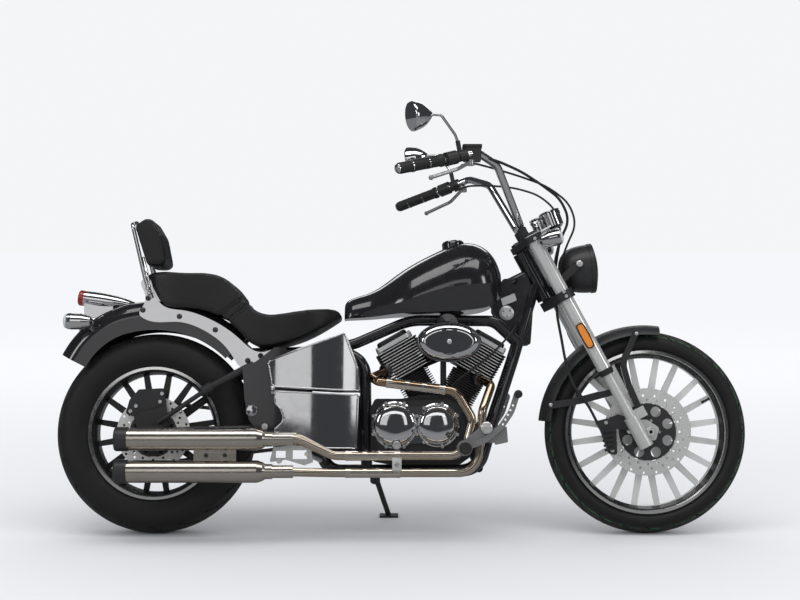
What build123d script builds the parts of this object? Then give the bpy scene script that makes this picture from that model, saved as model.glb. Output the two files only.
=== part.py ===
from build123d import *
from math import sin, cos, tan, radians
import os

# Cruiser motorcycle, V-twin, parked on its side stand.
# Bike frame: X forward from the rear axle, Y to the rider's left, Z up from the ground, mm.

# ---- driving dimensions -------------------------------------------------
rear_radius, rear_width, rear_flange = 328.0, 150.0, 217.0
front_radius, front_width, front_flange = 332.0, 104.0, 268.0
rake = 28.1                            # steering axis from the vertical, degrees
head_x, head_z = 1280.0, 800.0         # a point of the steering axis
fork_offset, axle_offset = 45.0, 77.0  # fork tubes and front axle ahead of that axis
fender_top, fender_t = 764.0, 4.0      # crown of the rear fender above the ground
lean = 8.0                             # parked lean to the left
crown_lift = 0.98                      # the crowned tread rolls onto its shoulder
running_gap = 0.06                     # radial, axles, stem and stand pin
seat_gap = 0.25                        # between curved faces that meet

axle_d, front_axle_bore, stem_d = 22.0, 12.0, 30.0
frame_tube, arch_tube = 34.0, 28.0
pipe_d, muffler_d, shield_t = 28.0, 71.0, 1.6
spoke_pairs_front, spoke_pairs_rear = 10, 8

rear_half, front_half = rear_width / 2, front_width / 2
leg_y = front_half + 53                # fork tubes
arm_y = rear_half + 39                 # swingarm tubes
plate_y = arm_y + 17                   # inner face of the pivot plates
fender_half = rear_half + 13
strut_y, strut_t = fender_half, 6.0
chain_y = rear_half + 17

# the front axle lies on the ground's wheel height, so the fork's length follows
axle_s = (front_radius - head_z - axle_offset * sin(radians(rake))) / cos(radians(rake))
rear_axle = (0.0, 0.0, rear_radius)

parts = {}
cord_radii = []


# ---- helpers ------------------------------------------------------------
def rod(a, b, d, bore=0.0):
    a, b = Vector(*a), Vector(*b)
    way = b - a
    plane = Plane(origin=a, z_dir=way)
    body = extrude(plane * Circle(d / 2), amount=way.length)
    if bore:
        body = body - extrude(plane * Circle(bore / 2), amount=way.length)
    return body


def cross(x, z, y0, y1, d, bore=0.0):
    return rod((x, y0, z), (x, y1, z), d, bore)


def bent(points, radii, d):
    path = FilletPolyline(*points, radius=radii)
    return sweep((path ^ 0) * Circle(d / 2), path=path)


def cord(points, d):
    # each arc as wide as 0.45 of the shorter run beside it allows
    runs = [Vector(*b) - Vector(*a) for a, b in zip(points, points[1:])]
    radii = [0.45 * min(a.length, b.length) / tan(radians(a.get_angle(b)) / 2)
             for a, b in zip(runs, runs[1:])]
    cord_radii.append((d, [round(r) for r in radii]))
    return bent(points, radii, d)


def strap(points, radii, width, y0, y1):
    # flat bar between two planes, its middle line through the (x, z) points
    path = FilletPolyline(*[(x, y0, z) for x, z in points], radius=radii)
    start = Plane(origin=path @ 0, x_dir=(0, 1, 0), z_dir=path % 0)
    return sweep(start * Pos((y1 - y0) / 2, 0) * Rectangle(y1 - y0, width), path=path)


def slab(outline, y0, y1, corner=0.0):
    face = Plane.XZ * make_face(Polyline(*outline, close=True))
    if corner:
        face = fillet(face.vertices(), corner)
    low, high = min(y0, y1), max(y0, y1)
    return Pos(0, high, 0) * extrude(face, amount=high - low)


def curved_slab(edges, y0, y1):
    return Pos(0, max(y0, y1), 0) * extrude(Plane.XZ * make_face(edges), amount=abs(y1 - y0))


def block(x0, x1, y0, y1, z0, z1, corner=0.0):
    box = Pos((x0 + x1) / 2, (y0 + y1) / 2, (z0 + z1) / 2) * Box(x1 - x0, y1 - y0, z1 - z0)
    return fillet(box.edges().filter_by(Axis.Z), corner) if corner else box


def ring(centre, profile):
    # profile: (radius, y) pairs, turned about a line along Y through the centre
    face = make_face(Polyline(*profile, close=True))
    return Pos(centre[0], 0, centre[2]) * revolve(face, axis=Axis.Y, revolution_arc=360)


def turned(a, b, profile, smooth=False):
    # profile: (distance along the line from a towards b, radius)
    a, b = Vector(*a), Vector(*b)
    pts = [(r, s) for s, r in profile]
    side = Spline(*pts) if smooth else Polyline(*pts)
    ends = Polyline(pts[-1], (0, pts[-1][1]), (0, pts[0][1]), pts[0])
    return Plane(origin=a, z_dir=b - a) * revolve(Plane.XZ * make_face([side, ends]), axis=Axis.Z)


def hull_plate(circles, y0, y1):
    # plate around (x, z, radius) circles
    edges = [e for x, z, r in circles for e in (Pos(x, z) * Circle(r)).edges()]
    return Pos(0, max(y0, y1), 0) * extrude(Plane.XZ * make_hull(edges), amount=abs(y1 - y0))


def mirrored(shape):
    return mirror(shape, about=Plane.XZ)


def pair(shape):
    return shape + mirrored(shape)


def fuse(items):
    items = list(items)
    return items[0].fuse(*items[1:]) if len(items) > 1 else items[0]


def around(axle, r, degrees):
    return (axle[0] + r * cos(radians(degrees)), axle[2] + r * sin(radians(degrees)))


def fork(s, y, f):
    # s along the steering axis (up), f ahead of it
    a = radians(rake)
    return (head_x - s * sin(a) + f * cos(a), y, head_z + s * cos(a) + f * sin(a))


def near_head(x, y, z):
    # measured from the steering axis's named point
    return (head_x + x, y, head_z + z)


fork_plane = Plane(origin=(head_x, 0, head_z), x_dir=(cos(radians(rake)), 0, sin(radians(rake))),
                   z_dir=(-sin(radians(rake)), 0, cos(radians(rake))))
front_axle = fork(axle_s, 0, axle_offset)


def fork_block(s0, s1, y0, y1, f0, f1):
    box = Pos((f0 + f1) / 2, (y0 + y1) / 2, (s0 + s1) / 2) * Box(f1 - f0, y1 - y0, s1 - s0)
    return fork_plane * box


# ---- wheels -------------------------------------------------------------
def tyre(centre, radius, width, flange):
    h = width / 2
    bead, middle, shoulder = flange - 13, (flange + radius) / 2 - 8, radius - 22
    edges = [Polyline((bead, -h * 0.66), (flange + 4, -h * 0.74)),
             ThreePointArc((flange + 4, -h * 0.74), (middle, -h), (shoulder, -h * 0.84)),
             ThreePointArc((shoulder, -h * 0.84), (radius, 0), (shoulder, h * 0.84)),
             ThreePointArc((shoulder, h * 0.84), (middle, h), (flange + 4, h * 0.74)),
             Polyline((flange + 4, h * 0.74), (bead, h * 0.66), (bead, -h * 0.66))]
    return Pos(centre[0], 0, centre[2]) * revolve(make_face(edges), axis=Axis.Y)


def wheel(centre, flange, width, pairs, hub_d, hub_half, blade, bore):
    h = width / 2
    bead = flange - 13 - seat_gap
    lip = h * 0.722 + seat_gap
    out = lip + 7
    well = flange - 24
    rim = ring(centre, [(flange, -out), (flange, -lip), (bead, -h * 0.66 - seat_gap),
                        (bead, h * 0.66 + seat_gap), (flange, lip), (flange, out),
                        (flange - 9, out + 1), (flange - 16, out - 6),
                        (well, h * 0.3), (well, -h * 0.3), (flange - 16, 6 - out), (flange - 9, -out - 1)])
    hub = turned((centre[0], -hub_half, centre[2]), (centre[0], hub_half, centre[2]),
                 [(0, hub_d / 2), (hub_half * 0.5, hub_d / 2), (hub_half * 0.7, hub_d / 2 - 7),
                  (hub_half * 1.3, hub_d / 2 - 7), (hub_half * 1.5, hub_d / 2), (hub_half * 2, hub_d / 2)])
    root, tip = hub_d / 2 - 10, well + 3
    items = [rim, hub]
    pitch = 360 / pairs
    for i in range(pairs):
        for side in (-1, 1):
            turn = Pos(centre[0], 0, centre[2]) * Rot(0, i * pitch + side * pitch * 0.235, 0)
            foot = Plane(origin=(root, side * 9, -side * 3), z_dir=(1, 0, 0)) * Rectangle(26, blade * 1.6)
            head = Plane(origin=(tip, side * 13, 0), z_dir=(1, 0, 0)) * Rectangle(18, blade)
            items.append(turn * loft([foot, head]))
    return fuse(items) - cross(centre[0], centre[2], -hub_half - 1, hub_half + 1, bore)


axle_bore = axle_d + 2 * running_gap
rear_hub_half = rear_half - 13
parts["rear_tyre"] = tyre(rear_axle, rear_radius, rear_width, rear_flange)
parts["rear_rim"] = wheel(rear_axle, rear_flange, rear_width, spoke_pairs_rear, 84,
                          rear_hub_half, 11, axle_bore)
parts["front_tyre"] = tyre(front_axle, front_radius, front_width, front_flange)
parts["front_rim"] = wheel(front_axle, front_flange, front_width, spoke_pairs_front, 78,
                           front_half, 8, axle_bore)


# a floating disc: drilled rotor, windowed carrier and the buttons between them
def brake_disc(centre, inner_face, outer_face, r_out, r_in, hat_r, hat_face, holes):
    x, z = centre[0], centre[2]
    rotor = cross(x, z, outer_face, inner_face, 2 * r_out, 2 * r_in)
    hat = cross(x, z, outer_face, hat_face, 2 * hat_r, 60)
    carrier = cross(x, z, outer_face + 0.5, inner_face - 0.5, 2 * r_in - 5, 60)
    windows, buttons = [], []
    for i in range(8):
        wx, wz = around(centre, (hat_r + r_in) / 2, 45 * i + 22)
        windows.append(cross(wx, wz, outer_face - 1, inner_face + 1, r_in - hat_r - 16))
        bx, bz = around(centre, r_in - 1.5, 45 * i)
        buttons.append(cross(bx, bz, outer_face, inner_face, 16))
    for i in range(holes):
        for row in range(3):
            r = r_in + 9 + row * (r_out - r_in - 18) / 2
            hx, hz = around(centre, r, 360 * (i + row / 3) / holes)
            windows.append(cross(hx, hz, outer_face - 1, inner_face + 1, 8.4))
    return fuse([rotor, carrier] + buttons) - windows + hat


front_disc_face = -(front_half + 2)
rear_disc_face = -(rear_half - 3)
parts["front_disc"] = brake_disc(front_axle, front_disc_face, front_disc_face - 5,
                                 143, 96, 46, -front_half, 20)
parts["rear_disc"] = brake_disc(rear_axle, rear_disc_face, rear_disc_face - 5,
                                120, 78, 50, -rear_hub_half, 16)

# ---- final drive --------------------------------------------------------
sprocket_r, gear_r = 100.0, 34.0       # pitch circles
chain_w, chain_half_h = 16.0, 7.0
gear_axle = (590.0, 0.0, 330.0)


def chain_outline(grow):
    return [(0, rear_radius, sprocket_r + grow), (gear_axle[0], gear_axle[2], gear_r + grow)]


parts["drive_chain"] = hull_plate(chain_outline(chain_half_h), chain_y - chain_w / 2, chain_y + chain_w / 2) \
    - hull_plate(chain_outline(-chain_half_h), chain_y - chain_w, chain_y + chain_w)
sprocket_holes = []
for i in range(6):
    hx, hz = around(rear_axle, 70, 60 * i)
    sprocket_holes.append(cross(hx, hz, chain_y - 5, chain_y + 5, 30))
parts["rear_sprocket"] = (cross(0, rear_radius, chain_y - 4, chain_y + 4,
                                2 * (sprocket_r - chain_half_h - seat_gap), 60)
                          + cross(0, rear_radius, rear_hub_half, chain_y - 4, 100, 60)) - sprocket_holes

# ---- swingarm -----------------------------------------------------------
pivot = (440.0, 0.0, 345.0)
disc_side = -rear_disc_face + 5.5      # inner ends of the spacers
arm = fuse([
    rod((20, arm_y, rear_radius + 2), (pivot[0], arm_y, pivot[2]), 30),
    slab([(-48, rear_radius - 22), (34, rear_radius - 22), (44, rear_radius + 22), (-20, rear_radius + 24),
          (-48, rear_radius + 18)], arm_y - 9, arm_y + 9, 6),
    rod((20, arm_y, rear_radius + 34), (178, arm_y, 470), 16),
    rod((166, arm_y, 462), (196, arm_y, 482), 34),
    rod((190, arm_y, 478), (328, arm_y, 551), 24),
    slab([(312, 538), (346, 558), (474, 372), (464, 328), (418, 328), (412, 372)], arm_y - 8, arm_y + 8)])
swingarm = fuse([pair(arm), rod((390, -arm_y, 350), (390, arm_y, 350), 36),
                 cross(pivot[0], pivot[2], -plate_y, plate_y, 46, axle_d),
                 cross(0, rear_radius, -arm_y - 14, arm_y + 14, axle_d),
                 cross(0, rear_radius, 7 - arm_y, -disc_side, 36),
                 cross(0, rear_radius, chain_y + 4.5, arm_y - 7, 36),
                 cross(362, 500, -arm_y, arm_y, 22),
                 pair(cross(0, rear_radius, arm_y + 9, arm_y + 16, 34))])
parts["swingarm"] = swingarm

# ---- frame --------------------------------------------------------------
head_low, head_high = -30.0, 146.0
tube_y, cradle_y, rail_y = 62.0, 60.0, 70.0
head = rod(fork(head_low, 0, 0), fork(head_high, 0, 0), 58)
down = bent([fork(25, 26, -14), (1180, tube_y, 571), (1106, tube_y + 20, 350), (1062, 96, 205),
             (566, cradle_y, 205), (512, cradle_y, 356)], [120, 120, 70, 60], frame_tube)
arch = bent([(1196, tube_y - 2, 628), (1120, tube_y, 700), (838, tube_y, 702), (660, tube_y, 625),
             (560, 80, 600)], [60, 200, 120], arch_tube)
rear_down = bent([(600, 78, 610), (690, 92, 560), (696, 84, 205)], [60], frame_tube)
rails = bent([(640, 78, 605), (470, rail_y, 596), (300, rail_y, 592)], [120], arch_tube)
backbone = rod(fork(70, 0, -10), (1000, 0, 740), 38) + rod((1010, 0, 742), (940, 0, 700), 38)
plate_t = 8.0
pivot_plate = slab([(296, 540), (340, 560), (400, 606), (436, 606), (530, 420), (530, 300), (404, 312),
                    (354, 325), (318, 371), (303, 440)], plate_y, plate_y + plate_t, 8)
gusset = slab([(1112, 790), (1150, 838), (1232, 846), (1250, 770), (1238, 620), (1196, 615), (1140, 680),
               (1112, 730)], 30, 36, 8) - cross(1186, 830, 0, 60, 20)
cross_bars = [cross(1062, 214, -96, 96, 26), cross(566, 205, -cradle_y, cradle_y, 30),
              cross(590, 600, -80, 80, 26), cross(330, 593, -rail_y, rail_y, 20),
              cross(940, 700, -tube_y, tube_y, 24)]
bosses = pair(cross(512, pivot[2], cradle_y, plate_y + 1, 30) + cross(430, 592, rail_y, plate_y + 1, 22)
              + cross(370, 590, rail_y, strut_y, 20))

# the side stand's lug and pin stand on the stand's own tilted axis
stand_pivot = (720.0, 134.0, 186.0)
stand_axis = (-0.0512, 0.7277, 0.6852)
stand_pin_d, stand_eye_d, stand_eye_half = 12.0, 34.0, 12.0


def on_stand_axis(s):
    return tuple(p + s * a for p, a in zip(stand_pivot, stand_axis))


lug = fuse([rod(on_stand_axis(-30), on_stand_axis(-stand_eye_half - 0.5), stand_eye_d),
            rod((720, 84, 202), on_stand_axis(-25), 22),
            rod(on_stand_axis(-20), on_stand_axis(stand_eye_half + 6), stand_pin_d),
            rod(on_stand_axis(stand_eye_half + 0.5), on_stand_axis(stand_eye_half + 6), 22)])
frame_body = fuse([head, pair(down), pair(arch), pair(rear_down), pair(rails), backbone, pair(pivot_plate),
                   pair(gusset), bosses, lug] + cross_bars)
parts["frame"] = frame_body - rod(fork(head_low - 1, 0, 0), fork(head_high + 1, 0, 0),
                                  stem_d + 2 * running_gap)
cap_face = plate_y + plate_t
parts["pivot_caps"] = pair(turned((327, cap_face, 402), (327, cap_face + 12, 402),
                                  [(0, 19), (7, 19), (11, 15), (12, 4)])
                           + cross(370, 350, cap_face, cap_face + 7, 20)
                           + turned(pivot[:1] + (cap_face, pivot[2]), pivot[:1] + (cap_face + 9, pivot[2]),
                                    [(0, 15), (2, 15), (4, 10)]))

# ---- engine -------------------------------------------------------------
crank = (940.0, 0.0, 352.0)
tilt = 29.5                            # each cylinder from the vertical
case_half, shoulder_half = 92.0, 118.0
case = slab([(704, 300), (716, 236), (770, 226), (1000, 226), (1034, 250), (1050, 330), (1030, 420),
             (985, 452), (870, 452), (810, 440), (724, 440), (704, 400)], -case_half, case_half, 14)
shoulders = slab([(724, 300), (740, 250), (1000, 250), (1024, 330), (1000, 420), (960, 438), (740, 430)],
                 -shoulder_half, shoulder_half, 14)
gearbox = block(500, 706, -60, 60, 250, 400)
front_mount = block(1040, 1080, -50, 50, 240, 290)
output_gear = cross(gear_axle[0], gear_axle[2], 50, chain_y + chain_w / 2,
                    2 * (gear_r - chain_half_h - seat_gap))

fin_t, fin_pitch, head_fin_pitch = 2.6, 8.0, 9.6
barrel_fins = [100 + fin_pitch * i for i in range(12)]
head_fins = [202 + head_fin_pitch * i for i in range(11)]


def on_cylinder(sign, shape):
    return Pos(crank[0], 0, crank[2]) * Rot(0, sign * tilt, 0) * shape


def finned(core, fin, heights):
    return fuse([core] + [Pos(0, 0, s) * extrude(fin, amount=fin_t) for s in heights])


def rocker_cover():
    base = Pos(0, 0, 306) * extrude(RectangleRounded(130, 160, 18), amount=14)
    crown = Pos(0, 0, 320) * extrude(RectangleRounded(108, 138, 20), amount=17)
    return base + fillet(crown.edges().group_by(Axis.Z)[-1], 8)


barrel = finned(Pos(0, 0, 150) * Cylinder(47, 118), RectangleRounded(118, 140, 26), barrel_fins)
cylinder_head = finned(Pos(0, 0, 252) * Box(96, 150, 108), RectangleRounded(150, 184, 16), head_fins)
deck = Pos(0, 0, 84) * Cylinder(62, 34)
parts["crankcase"] = fuse([case, shoulders, gearbox, front_mount, output_gear]
                          + [on_cylinder(sign, deck) for sign in (-1, 1)]) - parts["frame"]
parts["cylinder_heads"] = fuse([on_cylinder(sign, cylinder_head) for sign in (-1, 1)])
parts["barrels"] = fuse([on_cylinder(sign, barrel) for sign in (-1, 1)]) - parts["crankcase"] \
    - parts["cylinder_heads"]
parts["rocker_covers"] = fuse([on_cylinder(sign, rocker_cover()) for sign in (-1, 1)]) \
    - parts["cylinder_heads"]


# round cover: bolt flange with ears, a step and a domed face, along Y from the shoulder
def round_cover(x, z, r, side, ears):
    face = side * shoulder_half
    rise = side * 40
    flange = turned((x, face, z), (x, face + rise, z), [(0, r + 5), (9, r + 5), (12, r + 1), (13, r - 2)])
    dome = turned((x, face, z), (x, face + rise, z),
                  [(10, r - 2), (19, r - 4), (26, r - 12), (31, r - 28), (33, r - 46), (33.5, 3)],
                  smooth=True)
    lugs = []
    for i in range(ears):
        lx, lz = around((x, 0, z), r + 5, 360 * (i + 0.5) / ears)
        lugs.append(cross(lx, lz, face, face + side * 11, 15))
    return fuse([flange, dome] + lugs)


clutch, timing = (790, 354.5), (927, 354.5)
covers = [round_cover(*clutch, 71, -1, 8), round_cover(*timing, 66, -1, 7), round_cover(*clutch, 66, 1, 7),
          round_cover(*timing, 74, 1, 8),
          cross(795, 290, -shoulder_half - 32, -shoulder_half, 34),
          hull_plate([(*clutch, 62), (*timing, 57)], -shoulder_half - 12, -shoulder_half),
          hull_plate([(*clutch, 60), (*timing, 64)], shoulder_half, shoulder_half + 12)]
parts["engine_covers"] = fuse(covers)

# intake between the cylinders, its air cleaner outboard and a breather tube down the V
carb = (964.5, 600.0)
intake = fuse([cross(*carb, -128, 46, 62), cross(*carb, 46, 74, 50),
               rod((carb[0], 0, carb[1]), (820, 0, 540), 44), rod((carb[0], 0, carb[1]), (1060, 0, 540), 44)])
parts["intake"] = intake - parts["cylinder_heads"] - parts["barrels"]
parts["breather_tube"] = (rod((crank[0] + 8, -60, 430), (crank[0] + 8, -60, 590), 20)
                          - parts["crankcase"] - parts["intake"] - parts["barrels"])
cleaner = (964.5, -128.0, 622.0)


def oval(half_x, half_z, y0, y1):
    return Pos(cleaner[0], y0, cleaner[2]) * extrude(Plane.XZ * Ellipse(half_x, half_z), amount=y0 - y1)


lid = oval(101, 61, cleaner[1] - 10, cleaner[1] - 50)
lid = fillet(lid.edges().group_by(Axis.Y)[0], 26)
parts["air_cleaner"] = fuse([oval(105, 65, cleaner[1], cleaner[1] - 14), lid,
                             cross(cleaner[0], cleaner[2], cleaner[1] - 52, cleaner[1] - 30, 86, 79)])
parts["horn"] = (turned((961, -78, 682), (961, -118, 682),
                        [(0, 14), (4, 30), (14, 39), (30, 39), (36, 34), (38, 10)])
                 + cross(961, 698, -84, -tube_y, 20)) - parts["frame"]

# ---- exhaust ------------------------------------------------------------
pipe_y, muffler_y = -178.0, -200.0
low_y = pipe_y - 6                     # both pipes under the engine
upper_z, lower_z = 310.0, 207.5        # muffler axes
upper_run, lower_run = 257.0, 203.0    # pipes under the engine
rear_pipe = bent([(757, -82, 528), (714, -126, 508), (736, pipe_y, 493), (985, pipe_y, 463),
                  (1040, pipe_y, 372), (1010, pipe_y, upper_run), (592, low_y, upper_run),
                  (476, muffler_y, upper_z + 2), (381, muffler_y, upper_z)],
                 [16, 16, 46, 50, 60, 70, 60], pipe_d)
front_pipe = bent([(1068, -82, 505), (1102, -126, 484), (1070, pipe_y, 402), (1052, pipe_y, lower_run),
                   (592, low_y, lower_run), (381, muffler_y, lower_z)], [22, 40, 66, 60], pipe_d)
parts["exhaust_pipes"] = (rear_pipe + front_pipe) - parts["cylinder_heads"] - parts["barrels"]


# half-round shield outboard of a straight run, its slots turned up by some degrees
def heat_shield(a, b, slots, slot_w, turn):
    length = (Vector(*b) - Vector(*a)).length
    plane = Plane(origin=a, z_dir=Vector(*b) - Vector(*a), x_dir=(0, -1, 0))
    r = pipe_d / 2 + seat_gap
    shell = extrude(Circle(r + shield_t) - Circle(r), amount=length)
    shell = shell - Pos(-1.35 * r, 0, length / 2) * Box(2 * r, 4 * r, length + 2)
    pitch = (length - 24) / slots
    facing = (cos(radians(turn)), -sin(radians(turn)), 0)
    for i in range(slots):
        spot = Plane(origin=(0, 0, 12 + pitch * (i + 0.5)), x_dir=(0, 0, 1), z_dir=facing)
        shell = shell - extrude(spot * SlotOverall(pitch - 12, slot_w), amount=2 * r)
    bands = [Pos(0, 0, s) * extrude(Circle(r + shield_t + 0.8) - Circle(pipe_d / 2), amount=6)
             for s in (1, length - 7)]
    return plane * fuse([shell] + bands)


def on_run(a, b, x):
    t = (x - a[0]) / (b[0] - a[0])
    return tuple(p + t * (q - p) for p, q in zip(a, b))


upper_a, upper_b = (736, pipe_y, 493), (985, pipe_y, 463)
under_a, under_b = (592, low_y, upper_run), (1010, pipe_y, upper_run)
low_a, low_b = (592, low_y, lower_run), (1052, pipe_y, lower_run)
shields = [heat_shield(on_run(upper_a, upper_b, 762), on_run(upper_a, upper_b, 950), 3, 11, 30),
           heat_shield(on_run(under_a, under_b, 632), on_run(under_a, under_b, 806), 3, 10, 30),
           heat_shield(on_run(low_a, low_b, 632), on_run(low_a, low_b, 806), 3, 10, 30)]
parts["heat_shields"] = fuse(shields) - parts["exhaust_pipes"]

sleeve_d, clamp_d = 41.0, 48.0
muffler_rear, cone_x, muffler_front = -60.0, 352.0, 378.0
mufflers = []
for z in (upper_z, lower_z):
    mufflers.append(turned((muffler_rear, muffler_y, z), (0, muffler_y, z),
                           [(0, muffler_d / 2), (cone_x - muffler_rear, muffler_d / 2),
                            (muffler_front - 8 - muffler_rear, muffler_d / 2 - 6),
                            (muffler_front - muffler_rear, clamp_d / 2),
                            (muffler_front + 22 - muffler_rear, clamp_d / 2)]))
    mufflers.append(rod((muffler_front, muffler_y, z), (muffler_front + 88, muffler_y, z), sleeve_d))
mufflers.append(block(150, 285, muffler_y - 4, muffler_y + 4, lower_z + 20, upper_z - 20))
parts["mufflers"] = fuse(mufflers) - parts["exhaust_pipes"]
tips = [turned((muffler_rear, muffler_y, z), (muffler_rear - 41, muffler_y, z),
               [(0, muffler_d / 2), (0.01, muffler_d / 2 + 3), (36, muffler_d / 2 + 3), (41, muffler_d / 2)])
        - rod((muffler_rear - 42, muffler_y, z), (muffler_rear - 6, muffler_y, z), muffler_d - 17)
        for z in (upper_z, lower_z)]
parts["muffler_tips"] = fuse(tips)
hanger = slab([(388, 236), (400, 282), (452, 290), (520, 286), (528, 236), (500, 226), (440, 244)],
              -170, -160, 5) - block(408, 440, -180, -150, 250, 272) - block(462, 508, -180, -150, 246, 274)
parts["exhaust_hanger"] = (hanger + rod((552, -60, 236), (505, -165, 262), 14)
                           + cross(420, 240, muffler_y + 14, -160, 16)) - parts["frame"] - parts["mufflers"]

# ---- tank, seat ---------------------------------------------------------
tank_rows = [  # x, half width, top, widest z, bottom
    (622, 26, 738, 712, 700), (700, 76, 792, 728, 708), (800, 118, 857, 752, 718),
    (900, 140, 916, 785, 722), (1000, 150, 957, 806, 726), (1060, 145, 956, 812, 732),
    (1108, 118, 925, 818, 746), (1132, 80, 885, 822, 768), (1141, 50, 860, 825, 788)]


def tank_section(x, w, top, wide, bottom):
    over = ThreePointArc((x, -w, wide), (x, 0, top), (x, w, wide))
    under = Polyline((x, w, wide), (x, w * 0.84, bottom), (x, -w * 0.84, bottom), (x, -w, wide))
    return make_face([over, under])


tank = loft([tank_section(*row) for row in tank_rows])
filler = turned((985, 0, 935), (982, 0, 970), [(0, 37), (25, 37), (31, 33), (35, 24)])
parts["fuel_tank"] = (tank + filler) - parts["frame"]

seat_top = [(-34, 846), (-10, 855), (100, 853), (202, 846), (256, 816), (312, 746), (362, 715), (447, 719),
            (562, 733), (604, 727), (614, 704)]
seat_base = [(614, 704), (500, 645), (385, 612), (330, 614), (292, 648), (233, 698), (158, 729), (83, 735),
             (39, 740), (10, 770), (-34, 846)]
seat_side = curved_slab([Spline(*seat_top), Spline(*seat_base)], -170, 170)
plan_left = [(-40, 66), (60, 96), (240, 120), (340, 148), (440, 158), (540, 132), (616, 52)]
plan_right = [(x, -y) for x, y in reversed(plan_left)]
seat_plan = make_face([Spline(*plan_left), Line(plan_left[-1], plan_right[0]), Spline(*plan_right),
                       Line(plan_right[-1], plan_left[0])])
seat = (seat_side & (Pos(0, 0, 500) * extrude(seat_plan, amount=500))) - parts["frame"]

# ---- rear fender, struts, backrest --------------------------------------
fender_r = fender_top - rear_radius
skirt_r = fender_r - 98
fender_round, fender_front, fender_join, fender_end = 56.0, 46, 103, 153
tail_r = 319.0                         # the tail's own, tighter curve
tail_to = fender_r - tail_r
tail_centre = (tail_to * cos(radians(fender_join)), 0, rear_radius + tail_to * sin(radians(fender_join)))


# cross-section of the rear fender: rounded crown, straight sides
def fender_section(r, inset, low):
    half, side, turn = fender_half - inset, r - fender_round, fender_round - inset
    mid = turn * sin(radians(45))
    edges = [Polyline((side, half), (low, half), (low, -half), (side, -half)),
             ThreePointArc((side, -half), (side + mid, turn - half - mid), (r - inset, turn - half)),
             Line((r - inset, turn - half), (r - inset, half - turn)),
             ThreePointArc((r - inset, half - turn), (side + mid, half - turn + mid), (side, half))]
    return make_face(edges)


def fender_part(centre, r, start, end, hollow):
    section = fender_section(r, 0, r - 98)
    if hollow:
        section = section - fender_section(r, fender_t, r - 110)
    body = revolve(section, axis=Axis.Y, revolution_arc=end - start)
    return Pos(*centre) * Rot(0, -end, 0) * body


def fender_body(hollow):
    crown = fender_part((0, 0, rear_radius), fender_r, fender_front, fender_join, hollow)
    return crown + fender_part(tail_centre, tail_r, fender_join, fender_end, hollow)


fender_skin = fender_body(False)
parts["rear_fender"] = fender_body(True)

strut_top = [(-36, 832), (-18, 832), (-4, 796), (10, 764), (35, 741), (94, 729), (155, 712), (230, 674),
             (282, 634), (327, 598), (384, 600)]
strut_low = [(384, 574), (308, 541), (286, 543), (262, 572), (225, 620), (170, 660), (79, 691), (-33, 702),
             (-48, 716), (-36, 745), (-34, 790), (-44, 822), (-36, 832)]
strut_edges = [Spline(*strut_top), Line(strut_top[-1], strut_low[0]), Spline(*strut_low)]
parts["fender_struts"] = pair(curved_slab(strut_edges, strut_y, strut_y + strut_t))
parts["seat"] = seat - parts["fuel_tank"] - parts["fender_struts"] - fender_skin
bar_half = fender_half + 13
bar = bent([(-8, bar_half, 770), (-31, bar_half, 836), (-74, bar_half, 1012), (-78, 0, 1030),
            (-74, -bar_half, 1012), (-31, -bar_half, 836), (-8, -bar_half, 770)], [60, 20, 60, 20, 60], 13)
lugs = pair(cross(-20, 800, strut_y + strut_t, bar_half + 6, 16)
            + cross(-14, 784, strut_y + strut_t, bar_half + 6, 16))
stay_bar = pair(bent([(-14, bar_half, 788), (-24, bar_half, 850), (-42, 76, 905)], [40], 10))
parts["sissy_bar"] = fuse([bar, lugs, stay_bar])
pad = slab([(-71, 1010), (-34, 1034), (-14, 1034), (18, 980), (36, 893), (20, 876), (-28, 878)],
           -100, 100, 12)
pad = fillet(pad.edges().filter_by(Axis.Y, reverse=True), 9)
parts["backrest_pad"] = pad - parts["sissy_bar"]

# tail lamp: a teardrop on a short stem, its lens at the back
lamp_back, lamp_nose = (-249, 0, 776), (-58, 0, 748)
teardrop = turned(lamp_back, lamp_nose, [(0, 26), (60, 27), (120, 22), (165, 13), (192, 2)], smooth=True)
parts["tail_lamp"] = (teardrop + block(-246, -150, -20, 20, 690, 760)) - parts["rear_fender"]
lens_back = tuple(Vector(*lamp_back) * 2 - Vector(*lamp_nose))
parts["tail_lens"] = turned(lamp_back, lens_back, [(0, 26), (14, 26), (18, 22), (19.5, 8)])
signal_y = fender_half + 24
parts["rear_signals"] = pair(turned((-196, signal_y, 690), (-284, signal_y, 692),
                                    [(0, 8), (8, 18), (36, 25.5), (70, 27), (82, 26), (88, 18)])
                             + rod((-195, fender_half - 28, 650), (-215, signal_y, 688), 14)) - fender_skin

# ---- body panels --------------------------------------------------------
panel_y, panel_t = plate_y + plate_t, 5.0
upper_panel = [(376, 552), (384, 562), (473, 599), (626, 652), (634, 640), (649, 599), (673, 536), (678, 464),
               (592, 464), (399, 476), (388, 485)]
lower_panel = [(399, 458), (404, 466), (673, 452), (667, 278), (399, 278), (401, 339), (425, 365), (428, 383),
               (419, 406), (401, 426)]


# a panel bows outwards along its length and is open behind
def panel(outline, bulge):
    low, high = 370, 684
    outer = ThreePointArc((low, panel_y + panel_t), (560, panel_y + bulge), (high, panel_y + panel_t + 4))
    inner = ThreePointArc((high, panel_y + 4), (560, panel_y + bulge - panel_t), (low, panel_y))
    plan = make_face([outer, Line(outer @ 1, inner @ 0), inner, Line(inner @ 1, outer @ 0)])
    return slab(outline, panel_y - 1, panel_y + 60, 3) & (Pos(0, 0, 200) * extrude(plan, amount=600))


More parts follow.
